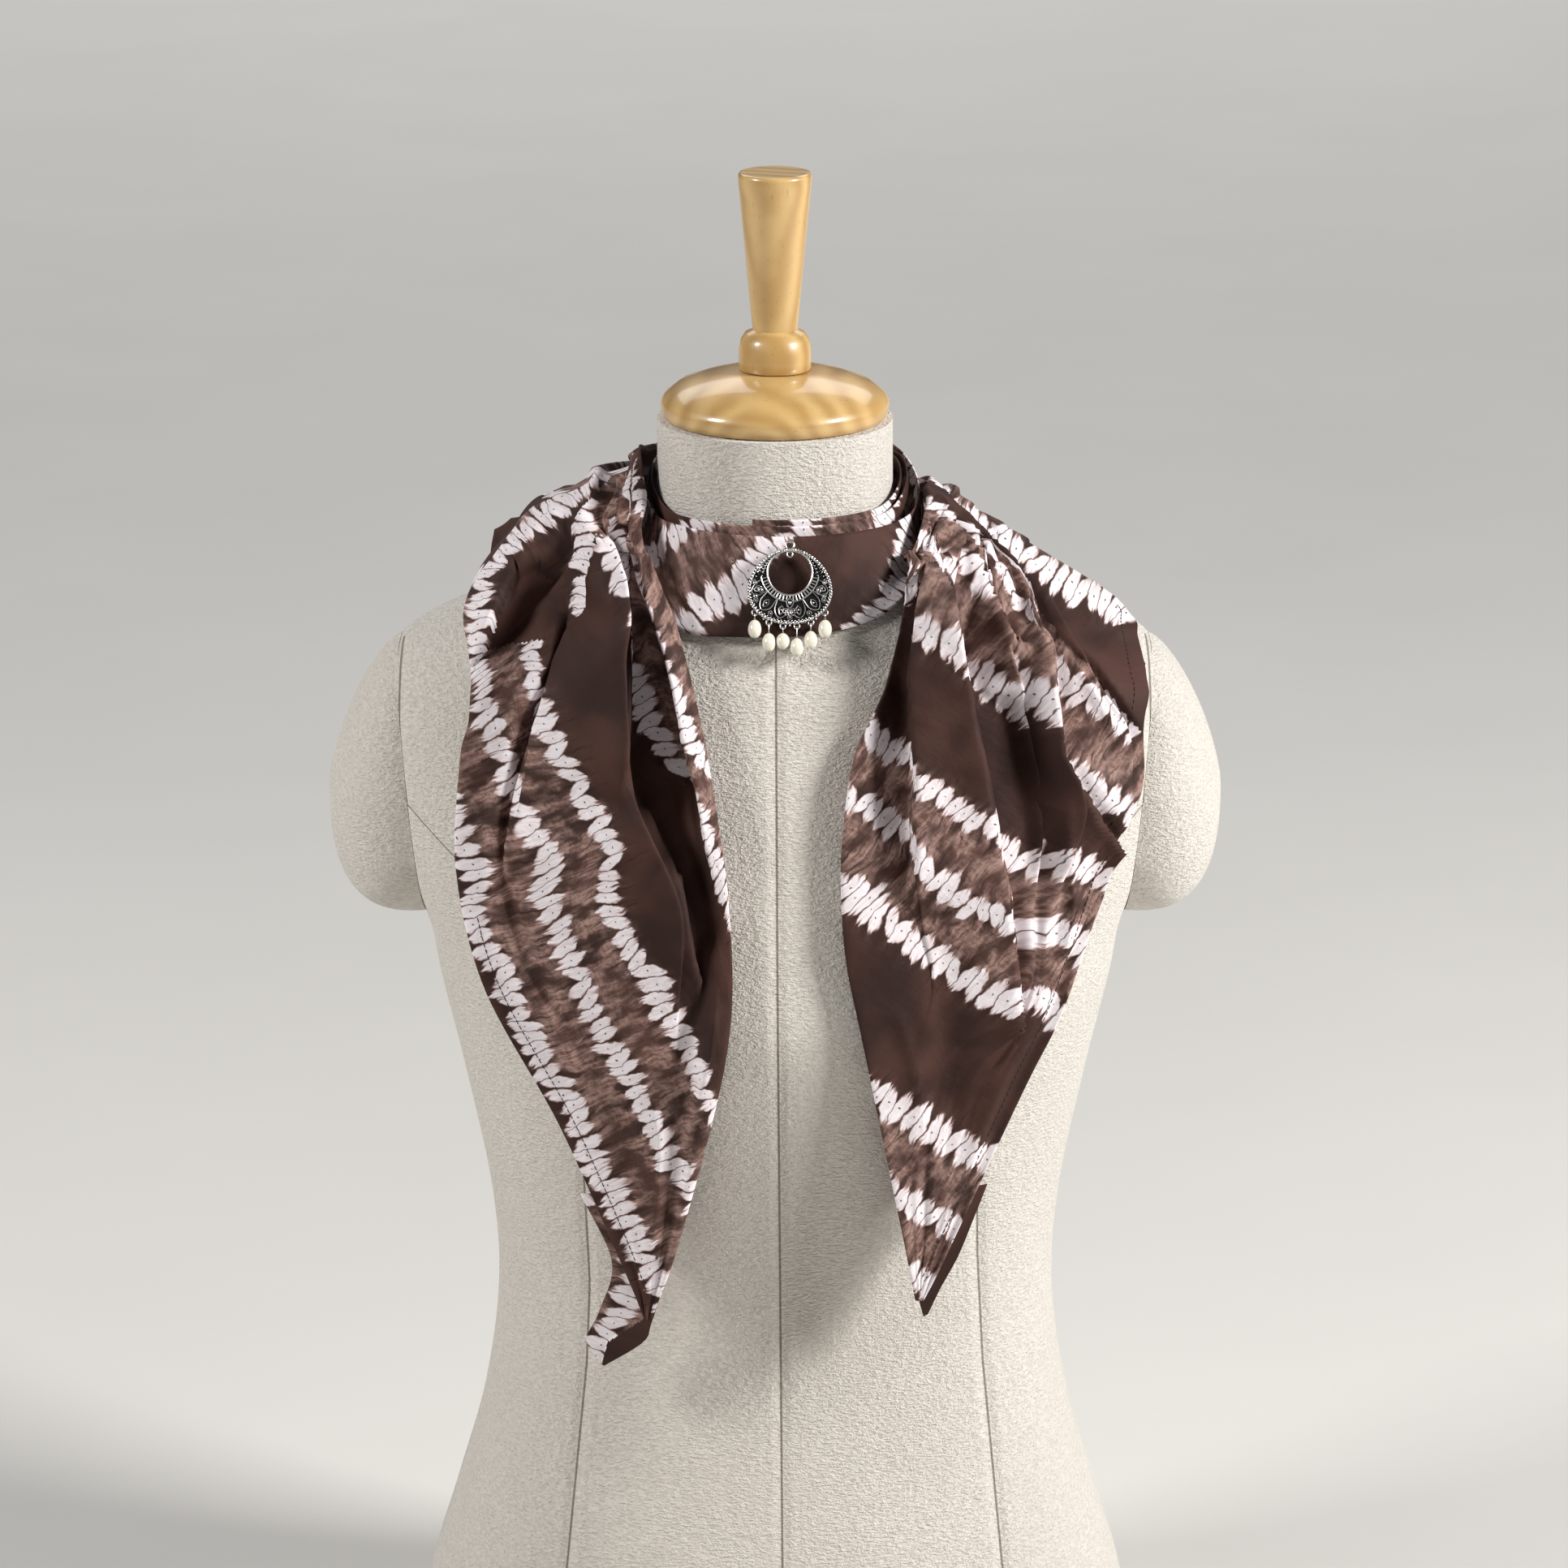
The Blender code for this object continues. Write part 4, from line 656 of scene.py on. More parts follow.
def turn_out(mesh):
    work = bmesh.new()
    work.from_mesh(mesh)
    bmesh.ops.recalc_face_normals(work, faces=work.faces[:])
    work.to_mesh(mesh)
    work.free()


def turned(name, outline, steps, finish, smooth_angle=40):
    """A shape turned about the upright axis, from its outline as radius and height."""
    points = [(0, 0, outline[0][1])]
    rings = [pair for pair in outline if pair[0] > 0]
    for radius, height in rings:
        points += [(radius * math.cos(angle), radius * math.sin(angle), height) for angle in circle(steps)]
    points.append((0, 0, outline[-1][1]))
    faces = [tuple(1 + i for i in face) for face in grid_faces(len(rings), steps, closed=True)]
    faces += fan(0, 1, steps) + fan(len(points) - 1, 1 + (len(rings) - 1) * steps, steps)
    piece = mesh_object(name, points, faces, finish, smooth_angle)
    turn_out(piece.data)
    return piece


# Scarf

def lay_sections(sections):
    """Points of the cloth's middle, a row for each section and a column for each fold."""
    rows = []
    for _, outer, inner, shares, heights in sections:
        share = np.array(shares)[:, None]
        height = np.array(heights, float) * FOLD_DEPTH
        near = np.array([outer[0], outer[1] or 0, outer[2]], float)
        far = np.array([inner[0], inner[1] or 0, inner[2]], float)
        row = near + (far - near) * share
        if outer[1] is None:
            row = lay_on_front(row, TAIL_LIFT + height)
            if inner[1] is not None:
                row[:, 1] += (far[1] - row[:, 1]) * share[:, 0] ** 3
        else:
            normal = distance_and_normal(row, FORM_TABLE)[1]
            row += normal * height[:, None]
        rows.append(row)
    grid = smooth_through(np.array(rows), STEPS_ALONG)
    return smooth_through(grid.transpose(1, 0, 2), STEPS_ACROSS).transpose(1, 0, 2)


def picture_places(points):
    """Where points fall in the photograph, in its pixels."""
    forward = np.array([0, math.cos(CAMERA_PITCH), -math.sin(CAMERA_PITCH)])
    up = np.array([0, math.sin(CAMERA_PITCH), math.cos(CAMERA_PITCH)])
    from_camera = points - (np.array(CAMERA_TARGET) - forward * CAMERA_DISTANCE)
    scale = CAMERA_DISTANCE / MM_PER_PIXEL / (from_camera @ forward)
    half = PICTURE_WIDTH / 2
    return np.stack([half + from_camera[..., 0] * scale, half - (from_camera @ up) * scale], axis=-1)


def line_distance(places, line):
    """Distance in mm from a line in the picture, positive on its left, share along it and way left."""
    line = np.array(line, float)
    spans = np.linalg.norm(np.diff(line, axis=0), axis=1)
    run = np.concatenate([[0], np.cumsum(spans)])
    best = np.full(places.shape[:-1], 1e9)
    side = np.zeros_like(best)
    share = np.zeros_like(best)
    left = np.zeros(places.shape[:-1] + (3,))
    for index, (first, last) in enumerate(zip(line[:-1], line[1:])):
        along = (last - first) / spans[index]
        offset = places - first
        reach = np.clip(offset @ along, 0, spans[index])
        apart = np.linalg.norm(offset - reach[..., None] * along, axis=-1)
        nearer = apart < best
        best = np.where(nearer, apart, best)
        cross = along[0] * offset[..., 1] - along[1] * offset[..., 0]
        side = np.where(nearer, np.where(cross > 0, 1.0, -1.0), side)
        share = np.where(nearer, (run[index] + reach) / run[-1], share)
        left = np.where(nearer[..., None], (-along[1], 0.0, -along[0]), left)
    return best * side * MM_PER_PIXEL, share, left


def row_names(grid, sections):
    """The sections' names, and for each row of the grid its place among them."""
    return [section[0] for section in sections], np.arange(grid.shape[0])[:, None] / STEPS_ALONG


def crease(grid, creases, sections, moving):
    """Adds folds along lines in the photograph, with the cloth that each one tucks away, in mm."""
    names, rows = row_names(grid, sections)
    places = picture_places(grid)
    columns = np.arange(grid.shape[1])[None, :] / STEPS_ACROSS
    lift, tucked = np.zeros(grid.shape[:2]), np.zeros(grid.shape[:2])
    slide = np.zeros(grid.shape)
    for kind, height, width, tuck, (top, bottom), (first, last), line in creases:
        distance, share, left = line_distance(places, line)
        mask = np.ones(grid.shape[:2])
        for room in (share / END_FADE_IN, (1 - share) / END_FADE_OUT,
                     (rows - names.index(top)) / SECTION_FADE_IN + 1,
                     (names.index(bottom) - rows) / SECTION_FADE_OUT + 1,
                     (columns - first) / COLUMN_FADE + 1, (last - columns) / COLUMN_FADE + 1):
            mask = mask * smooth_step(room)
        if kind == "ridge":
            shape = np.exp(-np.abs(distance) / width)
        elif kind == "valley":
            shape = -np.exp(-(distance / width) ** 2)
        else:
            way = 1 if kind == "left over" else -1
            high = distance * way
            edge = smooth_step((high + EDGE_HALF) / (2 * EDGE_HALF))
            shape = edge * np.exp(-np.maximum(high, 0) / width)
            foot = width * VALLEY_PLACE
            shape = shape - VALLEY_SHARE * np.exp(-((high + foot) / foot) ** 2) * (high < 0)
            reach = edge * np.exp(-np.maximum(high, 0) / OVERHANG_FADE) * mask
            slide -= left * (way * OVERHANG * reach)[..., None]
            tucked += tuck * (1 - edge) * smooth_step((1 - share) / END_FADE_OUT)
        lift += shape * height * mask * CREASE_DEPTH
    normal = distance_and_normal(grid, FORM_TABLE)[1]
    return grid + normal * (lift + moving)[..., None] + slide, tucked


def rumple(shape, seed):
    """Soft unevenness of worn cloth, as a smooth chance height for each point of a grid."""
    chance = np.random.default_rng(seed)
    total = np.zeros(shape)
    for cells, height in RUMPLE_CELLS:
        coarse = chance.normal(0, 1, cells)
        row = np.linspace(0, cells[0] - 1.001, shape[0])
        column = np.linspace(0, cells[1] - 1.001, shape[1])
        r, c = np.floor(row).astype(int), np.floor(column).astype(int)
        fr, fc = smooth_step(row - r)[:, None], smooth_step(column - c)[None, :]
        total += height * ((coarse[np.ix_(r, c)] * (1 - fc) + coarse[np.ix_(r, c + 1)] * fc) * (1 - fr)
                           + (coarse[np.ix_(r + 1, c)] * (1 - fc) + coarse[np.ix_(r + 1, c + 1)] * fc) * fr)
    return total * RUMPLE_SIZE


def keep_off(grid, side_lift, nape_lift):
    """Keeps a tail clear of the form, further off beside the neck and at the nape, where the band and rolls
    round the neck lie.
    """
    high = smooth_step((grid[..., 2] - NECK_LOW) / NECK_RISE)
    near_neck = high * (1 - smooth_step((np.hypot(grid[..., 0], grid[..., 1]) - NECK_REACH) / NECK_FADE))
    behind = high * smooth_step((grid[..., 1] - NAPE_START) / NAPE_FADE)
    neck_lift = side_lift + (nape_lift - side_lift) * behind
    clearance = CHEST_CLEAR + (neck_lift - CHEST_CLEAR) * np.maximum(near_neck, behind)
    return push_clear(grid, clearance, FORM_TABLE, PUSH_SOFTNESS)


def cloth_sheet(name, grid, flat, finish, flip=False, apart=()):
    """A thin shell on a grid of points, with its flat place in the dye pattern as a UV map.

    Apart: other flat places, each with the points that take it instead.
    """
    rows, columns = grid.shape[:2]
    faces = grid_faces(rows, columns)
    if flip:
        faces = [tuple(reversed(face)) for face in faces]
    piece = mesh_object(name, grid.reshape(-1, 3), faces, finish, 180)
    corners = np.empty(len(piece.data.loops), int)
    piece.data.loops.foreach_get("vertex_index", corners)
    chosen = flat.reshape(-1, 2)[corners]
    first = corners.reshape(-1, 4).min(axis=1)
    for own, inside in apart:
        picked = np.repeat(inside.reshape(-1)[first], 4)
        chosen = np.where(picked[:, None], own.reshape(-1, 2)[corners], chosen)
    piece.data.uv_layers.new(name="cloth").data.foreach_set("uv", chosen.ravel())
    thicken = piece.modifiers.new("Wall", "SOLIDIFY")
    thicken.thickness = CLOTH_THICK * MM
    thicken.offset = 0.0
    return piece


def along_rows(x, z, dye):
    """Flat place along and across the dye rows, the second fitted to the rows' measured places."""
    slope = math.radians(dye["slope"])
    along = x * math.cos(slope) - z * math.sin(slope)
    across = x * math.sin(slope) + z * math.cos(slope)
    measured, pattern = np.array(dye["measured"], float), np.array(dye["pattern"], float)
    fitted = np.interp(across, measured, pattern)
    fitted += np.minimum(across - measured[0], 0) + np.maximum(across - measured[-1], 0)
    return np.stack([along, fitted], axis=-1)


def tail_flat(grid, tucked, sections, dye):
    """Lays a tail flat: on the chest by its front view, and above by lengths over the shoulder."""
    names, rows = row_names(grid, sections)
    start = names.index(dye["flat_from"]) * STEPS_ALONG
    x, z = grid[..., 0].copy(), grid[..., 2].copy()
    share = smooth_through([section[3] for section in sections], STEPS_ALONG)
    share = smooth_through(share.T, STEPS_ACROSS).T
    ends = np.array([[(p[0], p[1] or 0, p[2]) for p in section[1:3]] for section in sections], float)
    chord = smooth_through(np.linalg.norm(ends[:, 1] - ends[:, 0], axis=-1)[:, None], STEPS_ALONG)
    middle = grid.shape[1] // 2
    across = (share - share[:, middle:middle + 1]) * chord * np.sign(x[start, -1] - x[start, 0])
    tilt = (z[start, -1] - z[start, 0]) / (x[start, -1] - x[start, 0])
    run = 1 / math.hypot(1, tilt)
    level = z[start, middle]
    for row in range(start - 1, -1, -1):
        level += np.linalg.norm(grid[row] - grid[row + 1], axis=-1).mean()
        blend_share = smooth_step((start - row) / (2.0 * STEPS_ALONG))
        x[row] += (x[start, middle] + across[row] * run - x[row]) * blend_share
        z[row] += (level + across[row] * run * tilt - z[row]) * blend_share
    fade_from, fade_to = (names.index(dye[key]) for key in ("fade_from", "fade_to"))
    fade = 1 - smooth_step((rows - fade_from) / (fade_to - fade_from))
    columns = np.arange(grid.shape[1]) / STEPS_ACROSS
    hidden = np.interp(columns, range(len(dye["hidden"])), dye["hidden"])
    return along_rows(x + hidden * fade + tucked, z, dye)


def lay_apart(grid, patches, sections):
    """Gives parts of a tail that lie behind a fold edge their own place in the pattern."""
    names, rows = row_names(grid, sections)
    places = picture_places(grid)
    apart = []
    for edge, row_line, row_value, (top, bottom), growth, shift in patches:
        distance, share, _ = line_distance(places, row_line)
        length = np.linalg.norm(np.diff(np.array(row_line, float), axis=0), axis=1).sum() * MM_PER_PIXEL
        inside = (rows >= names.index(top)) & (rows <= names.index(bottom))
        inside = inside & (line_distance(places, edge)[0] > 0)
        place = np.stack([share * length * growth + shift, row_value - distance * growth], axis=-1)
        apart.append((place, inside))
    return apart


def build_tail(name, sections, lifts, dye, creases, patches, seed, finish, flip):
    laid = lay_sections(sections)
    grid, tucked = crease(laid, creases, sections, rumple(laid.shape[:2], seed))
    grid = keep_off(grid, *lifts)
    flat = tail_flat(laid, tucked, sections, dye)
    return cloth_sheet(name, grid, flat, finish, flip, lay_apart(laid, patches, sections)), grid


def build_under(name, rows, dye, underside, finish, flip):
    corners = np.array([[(x, 0, z) for x, z in row] for row in rows], float)
    grid = smooth_through(corners, UNDER_STEPS)
    share = np.linspace(0, 1, UNDER_COLUMNS)[None, :, None]
    grid = grid[:, :1] + (grid[:, 1:2] - grid[:, :1]) * share
    grid = lay_on_front(grid, SECOND_LAYER_LIFT)
    flat = along_rows(grid[..., 0], grid[..., 2], dye)
    turned_up = line_distance(picture_places(grid), underside)[0]
    grid[..., 1] -= TURNED_UP_LIFT * smooth_step((turned_up + 0.4) / 0.8)
    plain = np.stack([flat[..., 0], TURNED_UP_PLAIN + grid[..., 0] * 0.05], axis=-1)
    return cloth_sheet(name, grid, flat, finish, flip, [(plain, turned_up > 0)])


def build_band(finish):
    rows, flat = [], []
    share = np.linspace(0, 1, BAND_STEPS_DOWN + 1)[:, None]
    for turn, top_radius, top, low_radius, low in smooth_through(BAND_SECTIONS, BAND_STEPS_ROUND):
        sine, cosine = math.sin(math.radians(turn)), math.cos(math.radians(turn))
        upper = np.array([BAND_CENTRE_X + top_radius * sine, -top_radius * cosine, top])
        lower = np.array([BAND_CENTRE_X + low_radius * sine, -low_radius * cosine, low])
        rows.append(upper + (lower - upper) * share)
        flat.append([(BAND_FLAT_RADIUS * math.radians(turn), z) for z in rows[-1][:, 2]])
    grid = push_clear(np.array(rows), BAND_CLEAR, FORM_TABLE, BAND_SOFTNESS)
    flat = np.array(flat)
    return cloth_sheet("band", grid, along_rows(flat[..., 0], flat[..., 1], BAND_DYE), finish)


def build_layer(name, middle_x, radius, height, rise, drop, first_turn, finish):
    """A layer of cloth that shows between the neck and the throat band."""
    rows, flat = [], []
    for step in range(LAYER_STEPS + 1):
        degrees = first_turn + (LAYER_LAST_TURN - first_turn) * step / LAYER_STEPS
        turn = math.radians(degrees)
        top = height + rise * smooth_step((abs(degrees) - LAYER_LIFT_START) / LAYER_LIFT_SPAN)
        top -= LAYER_DIVE * smooth_step((degrees - LAYER_DIVE_START) / LAYER_DIVE_SPAN)
        rows.append([(middle_x + (radius + out) * math.sin(turn), -(radius + out) * math.cos(turn),
                      top - drop * down) for down, out in LAYER_LEAN])
        flat.append([(radius * turn, top - drop * down + radius) for down, _ in LAYER_LEAN])
    flat = np.array(flat)
    return cloth_sheet(name, np.array(rows), along_rows(flat[..., 0], flat[..., 1], BAND_DYE), finish)


# Nodes of the materials

class Value:
    """A node's output to reckon with: each sign or call adds a node that takes it."""

    def __init__(self, tree, socket):
        self.tree, self.socket = tree, socket

    def math(self, operation, *others, clamp=False):
        inputs = dict(enumerate((self, *others)))
        return put(self.tree, "ShaderNodeMath", inputs, operation=operation, use_clamp=clamp)

    def __add__(self, other):
        return self.math("ADD", other)

    def __sub__(self, other):
        return self.math("SUBTRACT", other)

    def __mul__(self, other):
        return self.math("MULTIPLY", other)

    def __truediv__(self, other):
        return self.math("DIVIDE", other)

    def least(self, other):
        return self.math("MINIMUM", other)

    def most(self, other):
        return self.math("MAXIMUM", other)

    def soft(self, low, high, to_low=0.0, to_high=1.0):
        """Goes smoothly from one level to another as the value goes from low to high."""
        return put(self.tree, "ShaderNodeMapRange", {0: self, 1: low, 2: high, 3: to_low, 4: to_high},
                   interpolation_type="SMOOTHSTEP")

    def blend(self, first, second):
        """A colour between two, by the value as share."""
        return put(self.tree, "ShaderNodeMix", {0: self, 6: first, 7: second}, out=2, data_type="RGBA")

    def noise(self, scale=1.0, detail=2.0, rough=0.5, out=0):
        return put(self.tree, "ShaderNodeTexNoise",
                   {"Vector": self, "Scale": scale, "Detail": detail, "Roughness": rough}, out=out)

    def stretch(self, scale, turn=(0, 0, 0), shift=(0, 0, 0)):
        return put(self.tree, "ShaderNodeMapping",
                   {"Vector": self, "Scale": scale, "Rotation": turn, "Location": shift})

    def moved(self, scale, reach, onto):
        """A place moved about by soft chance."""
        chance = put(self.tree, "ShaderNodeVectorMath", {0: self.noise(scale, out=1), 1: (0.5, 0.5, 0.5)},
                     operation="SUBTRACT")
        return put(self.tree, "ShaderNodeVectorMath", {0: chance, 1: reach, 2: onto},
                   operation="MULTIPLY_ADD")

    def split(self):
        node = self.tree.nodes.new("ShaderNodeSeparateXYZ")
        self.tree.links.new(self.socket, node.inputs[0])
        return [Value(self.tree, output) for output in node.outputs]

    def bump(self, strength, distance):
        return put(self.tree, "ShaderNodeBump",
                   {"Height": self, "Strength": strength, "Distance": distance})


def fill(tree, sockets, inputs):
    """Links sockets to the values given for them, or sets them to the numbers given."""
    for key, value in inputs.items():
        if isinstance(value, Value):
            tree.links.new(value.socket, sockets[key])
        else:
            sockets[key].default_value = value


def put(tree, kind, inputs, out=0, **settings):
    node = tree.nodes.new(kind)
    for key, value in settings.items():
        setattr(node, key, value)
    fill(tree, node.inputs, inputs)
    return Value(tree, node.outputs[out])


def object_place(tree):
    return put(tree, "ShaderNodeTexCoord", {}, out=3)


def open_group(name, inputs, outputs):
    """A node group with named sockets, its inputs as values, and its output sockets."""
    group = bpy.data.node_groups.new(name, "ShaderNodeTree")
    for way, sockets in (("INPUT", inputs), ("OUTPUT", outputs)):
        for label, kind in sockets.items():
            group.interface.new_socket(label, in_out=way, socket_type="NodeSocket" + kind)
    given = group.nodes.new("NodeGroupInput").outputs
    values = {label: Value(group, given[label]) for label in inputs}
    return group, values, group.nodes.new("NodeGroupOutput").inputs


def use_group(tree, group, inputs):
    node = tree.nodes.new("ShaderNodeGroup")
    node.node_tree = group
    fill(tree, node.inputs, inputs)
    return {output.name: Value(tree, output) for output in node.outputs}


def new_material(name):
    finish = bpy.data.materials.new(name)
    finish.use_nodes = True
    return finish, finish.node_tree, finish.node_tree.nodes["Principled BSDF"].inputs


def paint(*levels):
    """A colour as it shows on a screen, from 0 to 255, in the renderer's own scale."""
    shares = [level / 255 for level in levels]
    return tuple(v / 12.92 if v <= 0.04045 else ((v + 0.055) / 1.055) ** 2.4 for v in shares) + (1.0,)


# Colours

DARK_DYE, WORN_DYE = paint(46, 27, 23), paint(72, 46, 39)
MOTTLE_DARK, MOTTLE_LIGHT = paint(94, 64, 55), paint(172, 142, 132)
HALO, PETAL_EDGE, PETAL_PALE = paint(184, 150, 142), paint(186, 156, 152), paint(234, 227, 231)
# The cover's ivory, darker in the crinkles' hollows as painted shade and lighter on their crests as painted
# light
COVER_SHADED_HOLLOW, COVER_LIT_CREST = paint(203, 196, 186), paint(233, 227, 219)
COVER_SMUDGE, SEAM_SHADOW = paint(212, 204, 194), paint(96, 84, 70)
WOOD_DARK, WOOD_LIGHT = paint(176, 138, 82), paint(206, 172, 114)
WOOD_BROAD, WOOD_PORE = paint(196, 158, 98), paint(120, 82, 44)
SILVER_BLACK, SILVER_BRIGHT = paint(22, 21, 21), paint(222, 220, 217)
RECESS_DARK, RECESS_LIGHT = paint(16, 15, 15), paint(70, 68, 67)
PEARL_DARK, PEARL_LIGHT = paint(218, 212, 192), paint(240, 236, 222)
THREAD_DARK, THREAD_LIGHT = paint(30, 20, 18), paint(58, 42, 38)
FLOOR_DARK, FLOOR_LIGHT = paint(206, 204, 200), paint(214, 212, 208)


# Dyed cotton


def petal_group():
    """One dyed petal: how far a place lies inside it, with its needle hole and the streaks about it."""
    inputs = dict.fromkeys(("Along", "Across", "Number", "Seed", "Fray"), "Float")
    outputs = dict.fromkeys(("Room", "Petal", "Hole", "Tail", "Line"), "Float")
    group, given, result = open_group("Petal", inputs, outputs)
    number, seed = given["Number"], given["Seed"]
    key = put(group, "ShaderNodeCombineXYZ", {0: number, 1: seed})
    chance = put(group, "ShaderNodeTexWhiteNoise", {"Vector": key}, out=1, noise_dimensions="2D")
    aside, rise, turn = chance.split()
    key = put(group, "ShaderNodeCombineXYZ", {0: seed, 1: number})
    size = put(group, "ShaderNodeTexWhiteNoise", {"Vector": key}, noise_dimensions="2D")
    beside = given["Along"] - (number + (aside * 0.2 + 0.4)) * PETAL_PITCH
    beyond = given["Across"] - (rise * 3.0 - 1.5)
    lean = turn * (PETAL_LEAN * 2) - PETAL_LEAN
    sine, cosine = lean.math("SINE"), lean.math("COSINE")
    length = beyond * cosine + beside * sine
    width = (beside * cosine - beyond * sine).math("ABSOLUTE")
    far = length.math("ABSOLUTE")
    share = far / (size * PETAL_HALF_SPREAD + PETAL_HALF_LENGTH)
    round_off = share.math("POWER", 2.8).math("MULTIPLY_ADD", -1.0, 1.0, clamp=True)
    room = round_off * PETAL_HALF_WIDTH - ((share - 0.95).most(0.0) * 9.0 + width)
    petal = room.soft(-0.4, 1.0) * (share + given["Fray"]).soft(1.12, 0.5)
    hole = (width * width + length * length).math("SQRT").soft(0.5, 0.25)
    tail = far.soft(15.0, 5.0) * width.soft(3.0, 0.3)
    crease = (beside + PETAL_PITCH / 2 - beyond * (size * 0.6 - 0.3)).math("ABSOLUTE")
    line = crease.soft(0.8, 0.1) * far.soft(16.0, 6.0)
    fill(group, result, {"Room": room, "Petal": petal, "Hole": hole, "Tail": tail, "Line": line})
    return group


def dye_group(petals):
    """Groups of three petal rows with mottled brown between them and plain dark brown beyond."""
    group, given, result = open_group("Stitched resist dye", {"Cloth": "Vector"},
                                      {"Color": "Color", "Height": "Float"})
    cloth = given["Cloth"]
    # The rows wander broadly, and a little more finely
    bent = cloth.moved(0.2, (3.0, 2.0, 0.0), cloth.moved(0.03, (8.0, 12.0, 0.0), cloth))
    along, across, _ = bent.split()
    spacing = PETAL_ROWS[1] - PETAL_ROWS[0]
    period = (across / DYE_PERIOD).math("FLOOR")
    within = across.math("FLOORED_MODULO", DYE_PERIOD)
    number = ((within - PETAL_ROWS[0]) / spacing).math("ROUND").least(2.0)
    from_row = within - (number * spacing + PETAL_ROWS[0])
    seed = period * 7.0 + (number * 13.0 + 2.0)
    shifted = seed * 1.93 + along
    cell = (shifted / PETAL_PITCH).math("FLOOR")
    fibre = bent.stretch((0.75, 0.07, 1)).noise(1.0, 3.0, 0.6)
    # The petal whose room is greatest at a place covers it, and the next greatest draws the border
    fray = fibre * -1.9 + 0.98
    found = [use_group(group, petals, {"Along": shifted, "Across": from_row, "Number": cell + step,
                                       "Seed": seed, "Fray": fray}) for step in (-1.0, 0.0, 1.0)]
    best = {key: found[0][key].most(found[1][key]).most(found[2][key]) for key in found[0]}
    first, second, third = (one["Room"] for one in found)
    runner_up = first.least(second).most(first.most(second).least(third))
    border = (best["Room"] - runner_up).soft(0.75, 0.1) * runner_up.soft(-0.6, 0.2)
    ruck = bent.stretch((0.3, 0.5, 1), (0, 0, 0.5)).noise(1.0, 3.0, 0.65)
    grain = (fibre * 0.6 + ruck * 0.4).soft(0.34, 0.66)
    mottle = (within.soft(PETAL_ROWS[0] - 7, PETAL_ROWS[0] + 3)
              * within.soft(PETAL_ROWS[2] + 9, PETAL_ROWS[2] - 1))
    light = mottle * (bent.stretch((0.12, 0.05, 1)).noise().soft(0.42, 0.62) * 0.9 + 0.08)
    tail = best["Tail"] * (grain * 0.75 + 0.1) * (mottle * 0.85 + 0.1)
    gap = from_row.math("ABSOLUTE").soft(11.0, 3.5) * best["Tail"].soft(0.85, 0.3)
    line = best["Line"] * fibre.soft(0.42, 0.56, 0.0, 0.85)
    pale = best["Petal"].soft(0.3, 1.0) * fibre.soft(0.38, 0.6, 0.72, 1.0)
    shade = (border * 0.85).most(line * (best["Petal"] * -0.65 + 0.75))
    dark = bent.noise(0.028).soft(0.35, 0.65).blend(DARK_DYE, WORN_DYE)
    colour = light.blend(dark, grain.blend(MOTTLE_DARK, MOTTLE_LIGHT))
    # From the undermost colour to the uppermost
    layers = ((tail, HALO), (gap * 0.8, DARK_DYE), (line * 0.9, DARK_DYE),
              (best["Petal"].soft(0.0, 0.75), PETAL_EDGE), (pale, PETAL_PALE),
              (shade, DARK_DYE), (best["Hole"] * 0.9, DARK_DYE))
    for share, over in layers:
        colour = share.blend(colour, over)
    weave = cloth.stretch((1.6, 1.6, 1)).noise(1.0, 2.0, 0.6)
    crease = cloth.stretch((0.10, 0.16, 1)).noise(1.0, 3.0, 0.55)
    fill(group, result, {"Color": colour, "Height": weave * 0.12 + (ruck * 0.12 + crease)})
    return group


def dyed_material(dye):
    finish, tree, shader = new_material("dyed_cotton")
    found = use_group(tree, dye, {"Cloth": put(tree, "ShaderNodeUVMap", {}, uv_map="cloth")})
    fill(tree, shader, {"Roughness": 0.72, "Specular IOR Level": 0.22, "Base Color": found["Color"],
                        "Normal": found["Height"].bump(0.5, 0.0012)})
    return finish


# Form cloth

def cover_group():
    """Ivory cover with fine crinkles that run across, with painted shade in their hollows and painted light
    on their crests, and thin seams drawn from distances.
    """
    group, given, result = open_group("Crinkled cover", {"Place": "Vector", "Seam": "Float"},
                                      {"Color": "Color", "Height": "Float"})
    place, seam = given["Place"], given["Seam"]
    crinkle = place.stretch((380, 380, 900)).noise(1.0, 3.0, 0.6)
    pebble = place.stretch((1100, 1100, 1500)).noise()
    smudge = place.noise(14.0, 3.0, 0.55).soft(0.35, 0.7)
    # Painted shade in the crinkles' hollows and painted light on their crests, from the same noise that
    # makes their bumps
    colour = (pebble * 0.4 + crinkle).soft(0.45, 0.95).blend(COVER_SHADED_HOLLOW, COVER_LIT_CREST)
    colour = (smudge * 0.35).blend(colour, COVER_SMUDGE)
    colour = (seam.soft(0.75, 0.25) * 0.8).blend(colour, SEAM_SHADOW)
    fill(group, result, {"Color": colour, "Height": pebble * 0.35 + crinkle - seam.soft(5.0, 0.0) * 0.6})
    return group


def cover_material(name, cover, seams):
    finish, tree, shader = new_material(name)
    nearest = NO_SEAM
    for seam in seams:
        distance = put(tree, "ShaderNodeAttribute", {}, out=2, attribute_name=seam)
        nearest = distance.math("ABSOLUTE").least(nearest)
    found = use_group(tree, cover, {"Place": object_place(tree), "Seam": nearest})
    fill(tree, shader, {"Roughness": 0.85, "Sheen Weight": 0.25, "Sheen Roughness": 0.5,
                        "Specular IOR Level": 0.3, "Base Color": found["Color"],
                        "Normal": found["Height"].bump(1.0, 0.002)})
    return finish


# Wood

